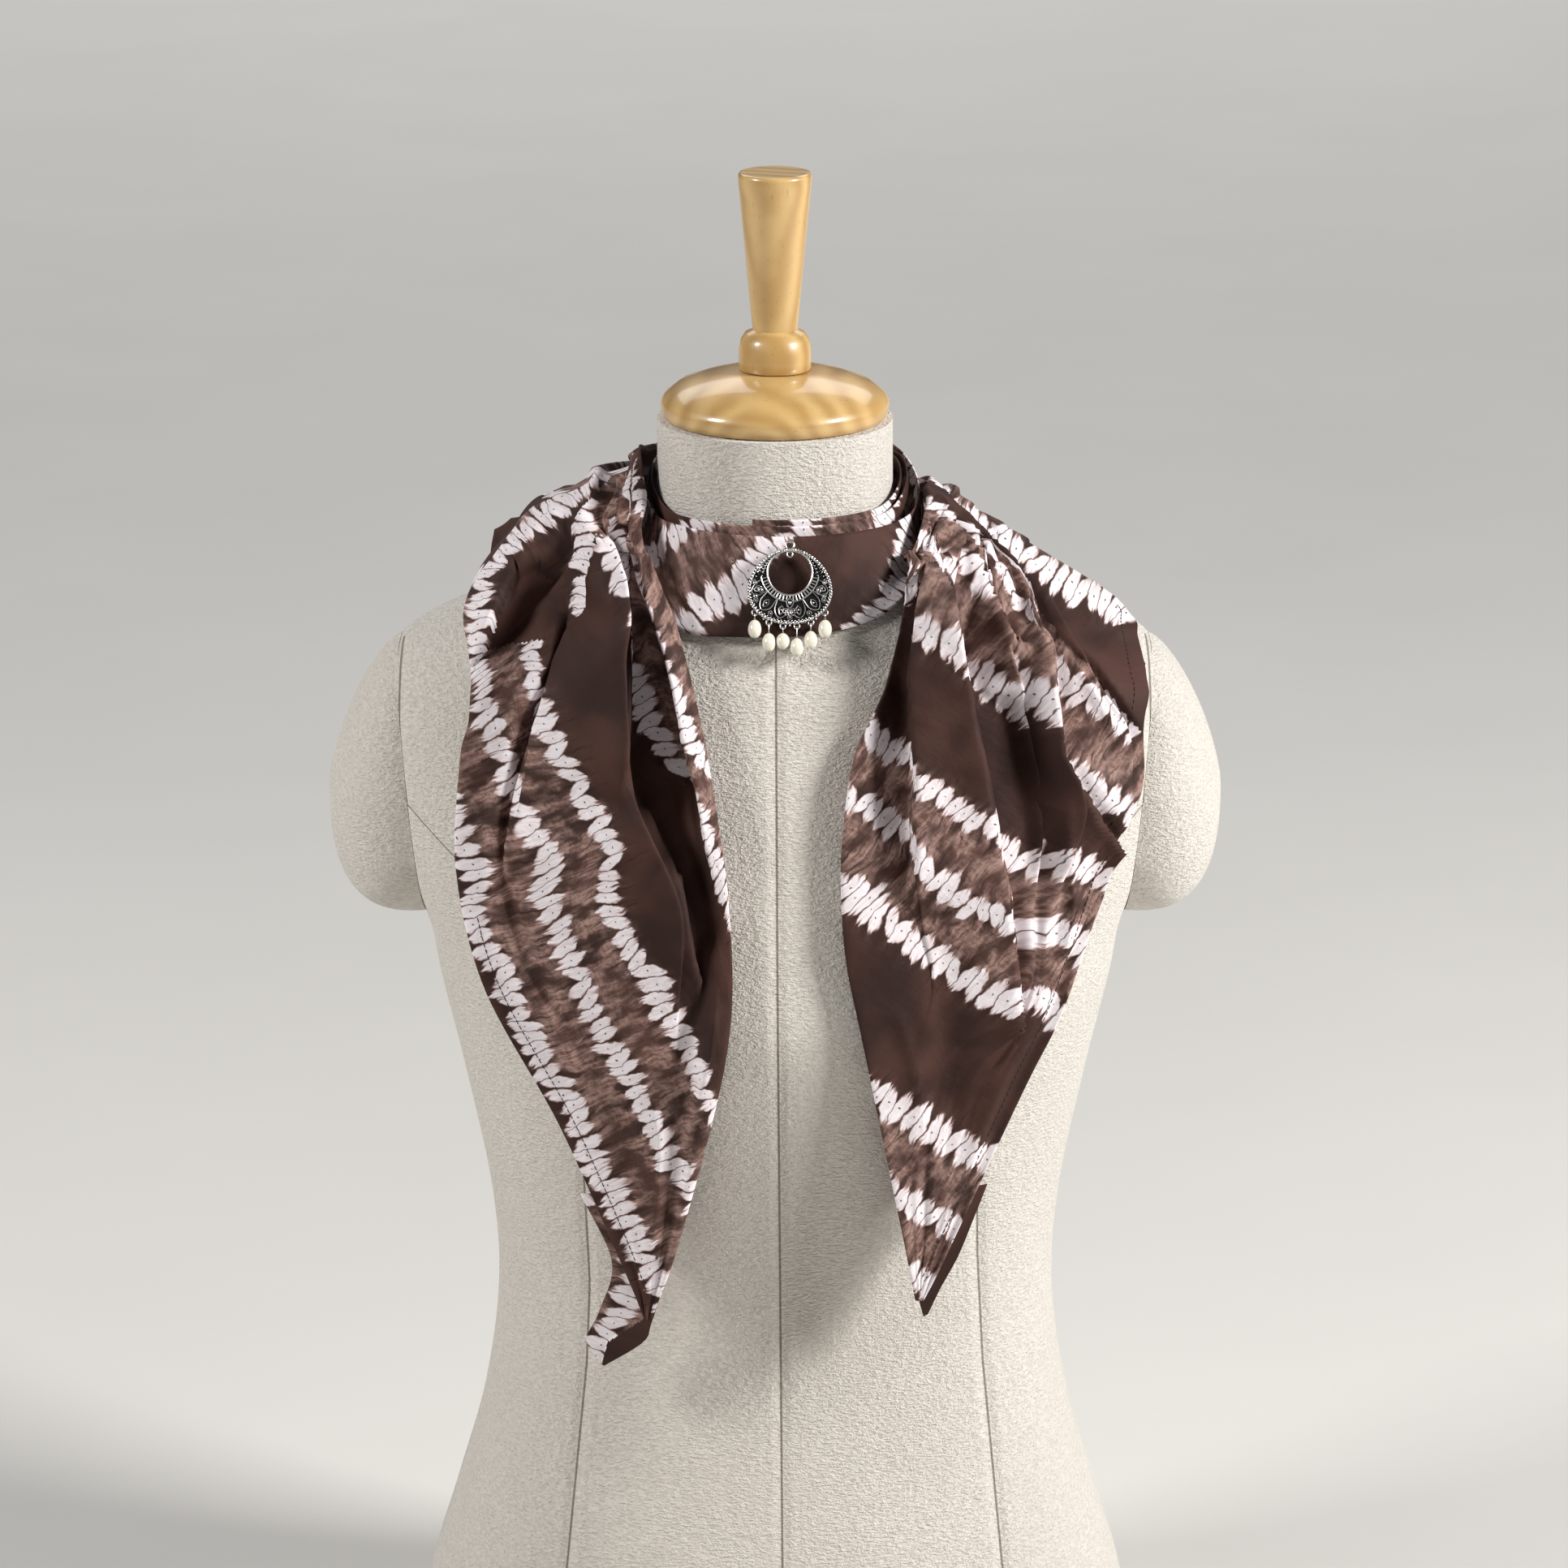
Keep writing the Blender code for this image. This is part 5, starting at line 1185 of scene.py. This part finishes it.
def wood_group():
    """Pale lacquered wood: soft bands of grain about an axis, with short dark pores."""
    group, given, result = open_group("Pale wood grain", {"Place": "Vector", "Pores": "Vector"},
                                      {"Color": "Color", "Height": "Float"})
    place = given["Place"]
    wander = put(group, "ShaderNodeVectorMath",
                 {0: place.noise(9.0, out=1), 1: (0.012, 0.012, 0.012), 2: place}, operation="MULTIPLY_ADD")
    rings = put(group, "ShaderNodeTexWave",
                {"Vector": wander, "Scale": 34.0, "Distortion": 2.2, "Detail": 2.0, "Detail Scale": 1.4},
                out=1, wave_type="RINGS", rings_direction="Z")
    fibre = given["Pores"].noise(1.0, 3.0, 0.6)
    colour = rings.blend(WOOD_DARK, WOOD_LIGHT)
    colour = (place.noise(22.0).soft(0.3, 0.7) * 0.45).blend(colour, WOOD_BROAD)
    colour = (fibre.soft(0.36, 0.28) * 0.55).blend(colour, WOOD_PORE)
    fill(group, result, {"Color": colour, "Height": fibre})
    return group


def wood_material(name, wood, shift, turn, pores):
    finish, tree, shader = new_material(name)
    place = object_place(tree)
    found = use_group(tree, wood, {"Place": place.stretch((1, 1, 1), turn, shift),
                                   "Pores": place.stretch(pores)})
    fill(tree, shader, {"Roughness": 0.38, "Coat Weight": 0.7, "Coat Roughness": 0.12,
                        "Base Color": found["Color"], "Normal": found["Height"].bump(0.08, 0.0004)})
    return finish


# Metal, pearl, thread and floor

def silver_material():
    finish, tree, shader = new_material("dark_silver")
    shade = put(tree, "ShaderNodeAmbientOcclusion", {"Distance": 0.0009}, out=1)
    grain = object_place(tree).noise(2600.0, 2.0, 0.6)
    tarnish = (grain * 0.2 + shade).soft(0.62, 1.1)
    fill(tree, shader, {"Metallic": 1.0, "Base Color": tarnish.blend(SILVER_BLACK, SILVER_BRIGHT),
                        "Roughness": grain.soft(0.3, 0.7, 0.28, 0.48)})
    return finish


def speckled_material(name, settings, speckle, dark, light, bump=None):
    """A plain finish whose colour wanders a little between two."""
    finish, tree, shader = new_material(name)
    grain = object_place(tree).noise(*speckle)
    fill(tree, shader, {**settings, "Base Color": grain.blend(dark, light)})
    if bump:
        fill(tree, shader, {"Normal": grain.bump(*bump)})
    return finish


# Brooch

def brooch_frame():
    """Turns the brooch's own flat frame, with +Z out of its face, into the leaning one on the band."""
    across = Vector((1, 0, 0))
    up = Vector((0, math.sin(BROOCH_LEAN), math.cos(BROOCH_LEAN)))
    out = across.cross(up)
    turn = Matrix((across, up, out)).transposed().to_4x4()
    return Matrix.Translation(Vector(BROOCH_MIDDLE) * MM) @ turn


def outline_point(angle, inset=0.0):
    width = BROOCH_HALF_WIDTH * (1 - BROOCH_BELLY * math.sin(angle)) - inset
    return Vector((width * math.cos(angle), (BROOCH_HALF_HEIGHT - inset) * math.sin(angle), 0))


def lug_places():
    """Middle of each lug on the plate's lower edge, in the brooch's flat frame."""
    places = []
    for across, _ in PEARLS:
        low, high = -math.pi, 0.0
        for _ in range(40):
            angle = (low + high) / 2
            if outline_point(angle).x < across:
                low = angle
            else:
                high = angle
        places.append(outline_point(angle) - Vector((0, LUG_RADIUS - LUG_WIRE, 0)))
    return places


class Wires:
    """Gathers tubes and beads in one mesh."""

    def __init__(self):
        self.points = []
        self.faces = []

    def tube(self, path, radius, sides=6, closed=False):
        path = [Vector(p) for p in path]
        count = len(path)
        first = len(self.points)
        across = None
        for index, point in enumerate(path):
            ahead = path[(index + 1) % count] if closed or index < count - 1 else point
            behind = path[index - 1] if closed or index > 0 else point
            along = (ahead - behind).normalized()
            if across is None:
                across = along.orthogonal().normalized()
            across = (across - along * across.dot(along)).normalized()
            up = along.cross(across)
            self.points += [point + (across * math.cos(angle) + up * math.sin(angle)) * radius
                            for angle in circle(sides)]
        rows = count + 1 if closed else count
        self.faces += [tuple(first + corner % (count * sides) for corner in face)
                       for face in grid_faces(rows, sides, closed=True)]
        if not closed:
            self.faces.append(tuple(first + side for side in reversed(range(sides))))
            self.faces.append(tuple(first + (count - 1) * sides + side for side in range(sides)))

    def bead(self, middle, radius, flat=1.0, rings=5, sides=8):
        first = len(self.points)
        middle = Vector(middle)
        self.points.append(middle + Vector((0, 0, radius * flat)))
        for ring in range(1, rings):
            down = math.pi * ring / rings
            self.points += [middle + Vector((math.sin(down) * math.cos(angle) * radius,
                                             math.sin(down) * math.sin(angle) * radius,
                                             math.cos(down) * radius * flat)) for angle in circle(sides)]
        self.points.append(middle - Vector((0, 0, radius * flat)))
        self.faces += fan(first, first + 1, sides)
        self.faces += [tuple(first + 1 + face[corner] for corner in (0, 3, 2, 1))
                       for face in grid_faces(rings - 1, sides, closed=True)]
        low = first + 1 + (rings - 2) * sides
        self.faces += [face[::-1] for face in fan(len(self.points) - 1, low, sides)]

    def ring(self, middle, radius, wire, normal=(0, 0, 1), steps=24, sides=8, stretch_down=0.0):
        normal = Vector(normal)
        across = normal.orthogonal().normalized()
        up = normal.cross(across)
        path = [Vector(middle) + (across * math.cos(angle) + up * math.sin(angle)) * radius
                for angle in circle(steps)]
        if stretch_down:
            path = [p - Vector((0, 0, stretch_down)) if p.z < Vector(middle).z else p for p in path]
        self.tube(path, wire, sides, closed=True)

    def build(self, name, finish, matrix=Matrix()):
        piece = mesh_object(name, self.points, self.faces, finish, 60)
        piece.data.transform(matrix)
        return piece


def build_brooch_plate(finish):
    """The dark plate behind the filigree: outline and hole at the front, then at the back."""
    outline = [outline_point(angle, PLATE_INSET) for angle in circle(PLATE_SIDES)]
    hole = [Vector((HOLE_RADIUS * math.cos(angle), HOLE_RISE + HOLE_RADIUS * math.sin(angle), 0))
            for angle in circle(PLATE_SIDES)]
    points = [point + Vector((0, 0, depth)) for depth in PLATE_DEPTHS for point in outline + hole]
    front_rim, front_hole, back_rim, back_hole = (PLATE_SIDES * ring for ring in range(4))
    faces = []
    for side in range(PLATE_SIDES):
        turn = (side + 1) % PLATE_SIDES
        for first, second in ((front_rim, front_hole), (back_rim, back_hole), (front_rim, back_rim),
                              (front_hole, back_hole)):
            faces.append((first + side, first + turn, second + turn, second + side))
    plate = mesh_object("brooch_back", points, faces, finish, 40)
    turn_out(plate.data)
    plate.data.transform(brooch_frame())
    return plate


def build_filigree(finish):
    """Rims, ladder, arches, scrolls and beads on the crescent, with its lugs, top ring and pin."""
    work = Wires()
    hole_middle = Vector((0, HOLE_RISE, 0))
    rim = [outline_point(angle) - hole_middle for angle in circle(240)]
    rim = sorted((math.atan2(p.y, p.x) % (2 * math.pi), p.length) for p in rim)
    rim_angles, rim_reaches = zip(*rim)

    def from_hole(angle, share, rise=0.4):
        """A place at an angle about the hole, 0 on the hole's edge and 1 on the outline."""
        reach = float(np.interp(angle % (2 * math.pi), rim_angles, rim_reaches, period=2 * math.pi))
        radius = HOLE_RADIUS + (reach - HOLE_RADIUS) * share
        return hole_middle + Vector((radius * math.cos(angle), radius * math.sin(angle), rise))

    def from_edge(angle, inset, rise=0.4):
        """The same, at a distance from the hole's edge."""
        radius = HOLE_RADIUS + inset
        return hole_middle + Vector((radius * math.cos(angle), radius * math.sin(angle), rise))

    for strand in (0, math.pi):
        path = []
        for angle in circle(RIM_STEPS):
            edge = outline_point(angle, RIM_INSET)
            twist = angle * RIM_TURNS + strand
            path.append(edge + edge.normalized() * RIM_REACH * math.cos(twist)
                        + Vector((0, 0, RIM_REACH * math.sin(twist) + 0.35)))
        work.tube(path, RIM_WIRE, 6, closed=True)
    work.tube([from_edge(angle, 0.3, 0.45) for angle in circle(90)], 0.48, 8, closed=True)
    span = LADDER_END - LADDER_START
    work.tube([from_edge(LADDER_START + span * i / 60, 3.2, 0.5) for i in range(61)], 0.38, 6)
    for i in range(LADDER_BARS):
        angle = LADDER_START + span * (i + 0.5) / LADDER_BARS
        work.tube([from_edge(angle, 0.6), from_edge(angle, 3.0)], 0.36, 6)
    # Arches between the ladder and the rim, a leaf in each, with scrolls between them
    for turn in ARCH_TURNS:
        middle = math.radians(-90 + turn)
        half = math.radians(12)
        arch = [from_edge(middle - half, 3.4), from_hole(middle - half * 0.75, 0.62),
                from_hole(middle, 0.82),
                from_hole(middle + half * 0.75, 0.62), from_edge(middle + half, 3.4)]
        work.tube(smooth_through(arch, 6), 0.32, 6)
        leaf = [from_hole(middle, 0.4), from_hole(middle + half * 0.32, 0.54), from_hole(middle, 0.7),
                from_hole(middle - half * 0.32, 0.54), from_hole(middle, 0.4)]
        work.tube(smooth_through(leaf, 5)[:-1], 0.26, 5, closed=True)
        work.bead(from_hole(middle, 0.54), 0.5)
    for turn in SCROLL_TURNS:
        middle = from_hole(math.radians(-90 + turn), 0.76)
        work.ring(middle, 0.95, 0.28, steps=16, sides=6)
        work.bead(middle, 0.42)
    for i in range(46):
        angle = math.radians(-185 + 190 * i / 45)
        work.bead(from_hole(angle, 0.885, 0.45), 0.44, 0.9, 4, 6)
    # Chevrons and leaves up the horns
    for side in (-1, 1):
        for band in ((0.2, 0.5), (0.55, 0.8)):
            path = []
            for i in range(19):
                angle = math.radians(-90 + side * (88 + 62 * i / 18))
                path.append(from_hole(angle, band[i % 2], 0.4))
            work.tube(path, 0.26, 5)
        for i in range(9):
            angle = math.radians(-90 + side * (84 + 58 * i / 8))
            work.bead(from_hole(angle, 0.35, 0.4), 0.4, 0.9, 4, 6)
            work.bead(from_hole(angle, 0.68, 0.4), 0.36, 0.9, 4, 6)
        for across, up, size in HORN_SCROLLS:
            path = []
            for k in range(22):
                angle = 2 * math.pi * k / 13
                radius = size * (1 - k / 27)
                path.append((side * (across + radius * math.cos(angle)),
                             up + radius * math.sin(angle), 0.55))
            work.tube(path, 0.28, 5)
    # Centre leaf with petals under it
    leaf = [(0, -5.2, 0.8), (1.5, -7.2, 0.8), (0, -9.8, 0.8), (-1.5, -7.2, 0.8), (0, -5.2, 0.8)]
    work.tube(smooth_through(leaf, 8)[:-1], 0.36, 6, closed=True)
    work.bead((0, -7.3, 0.7), 0.95, 0.7)
    for turn in CENTRE_TURNS:
        lean = math.radians(turn)
        tip = Vector((math.sin(lean) * 3.6, -9.8 - math.cos(lean) * 3.6, 0.7))
        root = Vector((math.sin(lean) * 0.8, -9.8 - math.cos(lean) * 0.6, 0.7))
        side = Vector((math.cos(lean), math.sin(lean), 0)) * 0.85
        middle = (tip + root) / 2
        petal = [root, middle + side, tip, middle - side, root]
        work.tube(smooth_through(petal, 6)[:-1], 0.28, 5, closed=True)
        work.bead(middle, 0.45)
    for place in lug_places():
        work.ring(place, LUG_RADIUS, LUG_WIRE)
    for angle in (-124, -90, -56):
        edge = outline_point(math.radians(angle))
        work.bead((edge.x, edge.y - 0.3, 0), 0.6)
    work.ring((0, BROOCH_HALF_HEIGHT + TOP_RING_RADIUS - 0.5, 0), TOP_RING_RADIUS, TOP_RING_WIRE)
    work.ring((0, HOLE_RISE + HOLE_RADIUS - 1.4, 0.2), 1.25, 0.36)
    pin = [(side * PIN_HALF_LENGTH, PIN_LEVEL, -PIN_BACK) for side in (-1, 1)]
    work.tube(pin, PIN_RADIUS, 10)
    for side in (-1, 1):
        across = side * (PIN_HALF_LENGTH - PIN_OVERHANG)
        work.tube([(across, PIN_LEVEL, -0.4), (across, PIN_LEVEL, -PIN_BACK)], PIN_POST / 2, 12)
    return work.build("brooch_filigree", finish, brooch_frame())


def build_pearl(index, place, extra, pearl_finish, wire_finish):
    """A pearl on its wire eye, hanging from a lug."""
    hinge = brooch_frame() @ ((place + Vector((0, -LUG_RADIUS, 0))) * MM)
    matrix = Matrix.Translation(hinge) @ Matrix.Rotation(-PEARL_LEAN, 4, "X")
    top = -(EYE_DROP + EYE_RADIUS + extra + 0.2)
    length = PEARL_HALF_HEIGHT * (0.88 if index == 2 else 1.0)
    outline = [(0, top)]
    for step in range(1, 22):
        angle = math.pi * step / 22
        outline.append((PEARL_HALF_WIDTH * math.sin(angle) ** 0.9 * (1 - 0.05 * math.cos(angle)),
                        top - length + length * math.cos(angle)))
    outline.append((0, top - 2 * length))
    pearl = turned(f"pearl_{index + 1}", outline, 36, pearl_finish, 180)
    pearl.data.transform(matrix)
    work = Wires()
    work.ring((0, 0, -EYE_DROP), EYE_RADIUS, EYE_WIRE, (1, 0, 0), 28, 8, extra)
    work.tube([(0, 0, top + 0.5), (0, 0, top - 0.4)], 0.4, 8)
    work.bead((0, 0, top + 0.15), 0.62, 0.45)
    work.bead((0, 0, top - 2 * length + 0.05), 0.4, 0.8)
    wire = work.build(f"pearl_wire_{index + 1}", wire_finish, matrix)
    return pearl, wire


# Stitches along a hem

def stitch_row(name, grid, rows, finish):
    """Short threads along a tail's hem, at an even inset from its outer edge."""
    path = []
    for row in rows:
        line = grid[row, STEPS_ACROSS:]
        run = np.concatenate([[0], np.cumsum(np.linalg.norm(np.diff(line, axis=0), axis=-1))])
        spot = np.array([np.interp(HEM_INSET, run, line[:, axis]) for axis in range(3)])
        normal = distance_and_normal(spot, FORM_TABLE)[1]
        path.append(np.concatenate([spot, normal]))
    path = np.array(path)
    run = np.concatenate([[0], np.cumsum(np.linalg.norm(np.diff(path[:, :3], axis=0), axis=-1))])
    work = Wires()
    place = STITCH_START
    while place < run[-1] - STITCH_PITCH - 0.1:
        ends = []
        for offset, lift in STITCH_SHAPE:
            values = np.array([np.interp(place + offset, run, path[:, k]) for k in range(6)])
            ends.append(values[:3] + values[3:] * lift)
        work.tube(ends, STITCH_RADIUS, 5)
        place += STITCH_PITCH
    return work.build(name, finish)


# Stage

def add_area_light(name, place, aim, size, energy, colour):
    light = bpy.data.lights.new(name, "AREA")
    light.shape = "RECTANGLE"
    light.size, light.size_y = size
    light.energy = energy
    light.color = colour
    holder = bpy.data.objects.new(name, light)
    holder.location = place
    holder.rotation_euler = (Vector(aim) - Vector(place)).to_track_quat("-Z", "Y").to_euler()
    bpy.context.scene.collection.objects.link(holder)


def add_stage():
    forward = Vector((0, math.cos(CAMERA_PITCH), -math.sin(CAMERA_PITCH)))
    lens = bpy.data.cameras.new("camera")
    lens.sensor_width = SENSOR
    lens.lens = SENSOR * CAMERA_DISTANCE / (PICTURE_WIDTH * MM_PER_PIXEL)
    camera = bpy.data.objects.new("camera", lens)
    camera.location = (Vector(CAMERA_TARGET) - forward * CAMERA_DISTANCE) * MM
    camera.rotation_euler = forward.to_track_quat("-Z", "Y").to_euler()
    bpy.context.scene.collection.objects.link(camera)
    bpy.context.scene.camera = camera
    world = bpy.data.worlds.new("studio")
    bpy.context.scene.world = world
    bpy.context.scene.view_settings.view_transform = "Standard"
    world.use_nodes = True
    air = world.node_tree.nodes["Background"].inputs
    fill(world.node_tree, air, {"Color": AIR_COLOUR, "Strength": AIR_STRENGTH})
    for name, values in LIGHTS.items():
        add_area_light(name, *values)
    finish = speckled_material("pale_floor", {"Roughness": 0.75}, (3.0, 3.0, 0.6), FLOOR_DARK, FLOOR_LIGHT)
    floor = mesh_object("floor", FLOOR_CORNERS, [(0, 1, 2, 3)], finish)


def dress(piece, node, body=BODY):
    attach(piece, body)
    if node:
        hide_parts(node)


def main():
    add_stage()
    cover = cover_group()
    form_cloth = cover_material("form_cloth", cover, ("seam_centre", "seam_left", "seam_right"))
    cap_cloth = cover_material("arm_cap_cloth", cover, ())
    wood = wood_group()
    knob_wood = wood_material("knob_wood", wood, (0.03, 0.11, 0), (0, 0, 0), (1500, 1500, 90))
    disc_wood = wood_material("disc_wood", wood, (0.0, 0.62, 0.03), (math.radians(90), 0, 0),
                              (300, 1600, 1600))
    dyed = dyed_material(dye_group(petal_group()))
    silver = silver_material()
    recess = speckled_material("black_recess", {"Metallic": 0.9, "Roughness": 0.5}, (1500.0, 2.0, 0.6),
                               RECESS_DARK, RECESS_LIGHT)
    nacre = {"Roughness": 0.28, "Coat Weight": 0.6, "Coat Roughness": 0.15,
             "Subsurface Weight": 0.15, "Subsurface Radius": (0.003, 0.002, 0.0015)}
    pearl = speckled_material("pearl", nacre, (420.0, 2.0, 0.5), PEARL_DARK, PEARL_LIGHT, (0.12, 0.0003))
    thread = speckled_material("sewing_thread", {"Roughness": 0.8}, (900.0, 2.0, 0.5),
                               THREAD_DARK, THREAD_LIGHT)

    dress(build_torso(form_cloth), "dress_form")
    for name, side in (("arm_cap_left", -1), ("arm_cap_right", 1)):
        dress(build_arm_cap(name + "_cover", side, cap_cloth), name)
    dress(turned("turned_disc", NECK_DISC, TURNED_STEPS, disc_wood), "neck_disc")
    dress(turned("turned_knob", KNOB, TURNED_STEPS, knob_wood), "neck_knob")

    band = build_band(dyed)
    dress(band, "scarf_throat_band")
    layers = [build_layer(layer[0] + "_cloth", *layer[1:], dyed) for layer in LAYERS]
    for piece, layer in zip(layers, LAYERS):
        dress(piece, layer[0])
    left, left_grid = build_tail("left_tail", LEFT_SECTIONS, (LEFT_NECK_LIFT, LEFT_NAPE_LIFT), LEFT_DYE,
                                 LEFT_CREASES, LEFT_PATCHES, LEFT_RUMPLE_SEED, dyed, True)
    right, right_grid = build_tail("right_tail", RIGHT_SECTIONS, (RIGHT_NECK_LIFT, RIGHT_NAPE_LIFT),
                                   RIGHT_DYE, RIGHT_CREASES, RIGHT_PATCHES, RIGHT_RUMPLE_SEED, dyed, False)
    dress(left, "scarf_left_tail")
    dress(right, "scarf_right_tail")
    left_under = build_under("left_under_tip", LEFT_UNDER, LEFT_UNDER_DYE, LEFT_UNDERSIDE, dyed, True)
    right_under = build_under("right_under_tip", RIGHT_UNDER, RIGHT_UNDER_DYE, RIGHT_UNDERSIDE, dyed, False)
    dress(left_under, "scarf_left_under_tip")
    dress(right_under, "scarf_right_under_tip")
    hem_corner = [section[0] for section in LEFT_SECTIONS].index("hem corner") * STEPS_ALONG
    for name, grid, start in (("left_hem_stitches", left_grid, hem_corner - HEM_END_ROWS),
                              ("right_hem_stitches", right_grid, 3 * STEPS_ALONG)):
        dress(stitch_row(name, grid, range(start, len(grid) - HEM_END_ROWS), thread), None)

    plate = build_brooch_plate(recess)
    filigree = build_filigree(silver)
    dress(filigree, "brooch_plate")
    dress(plate, None)
    for index, (place, (_, extra)) in enumerate(zip(lug_places(), PEARLS)):
        bead, wire = build_pearl(index, place, extra, pearl, silver)
        dress(bead, f"pearl_drop_{index + 1}", f"drop_{index + 1}")
        dress(wire, None, f"drop_{index + 1}")


main()
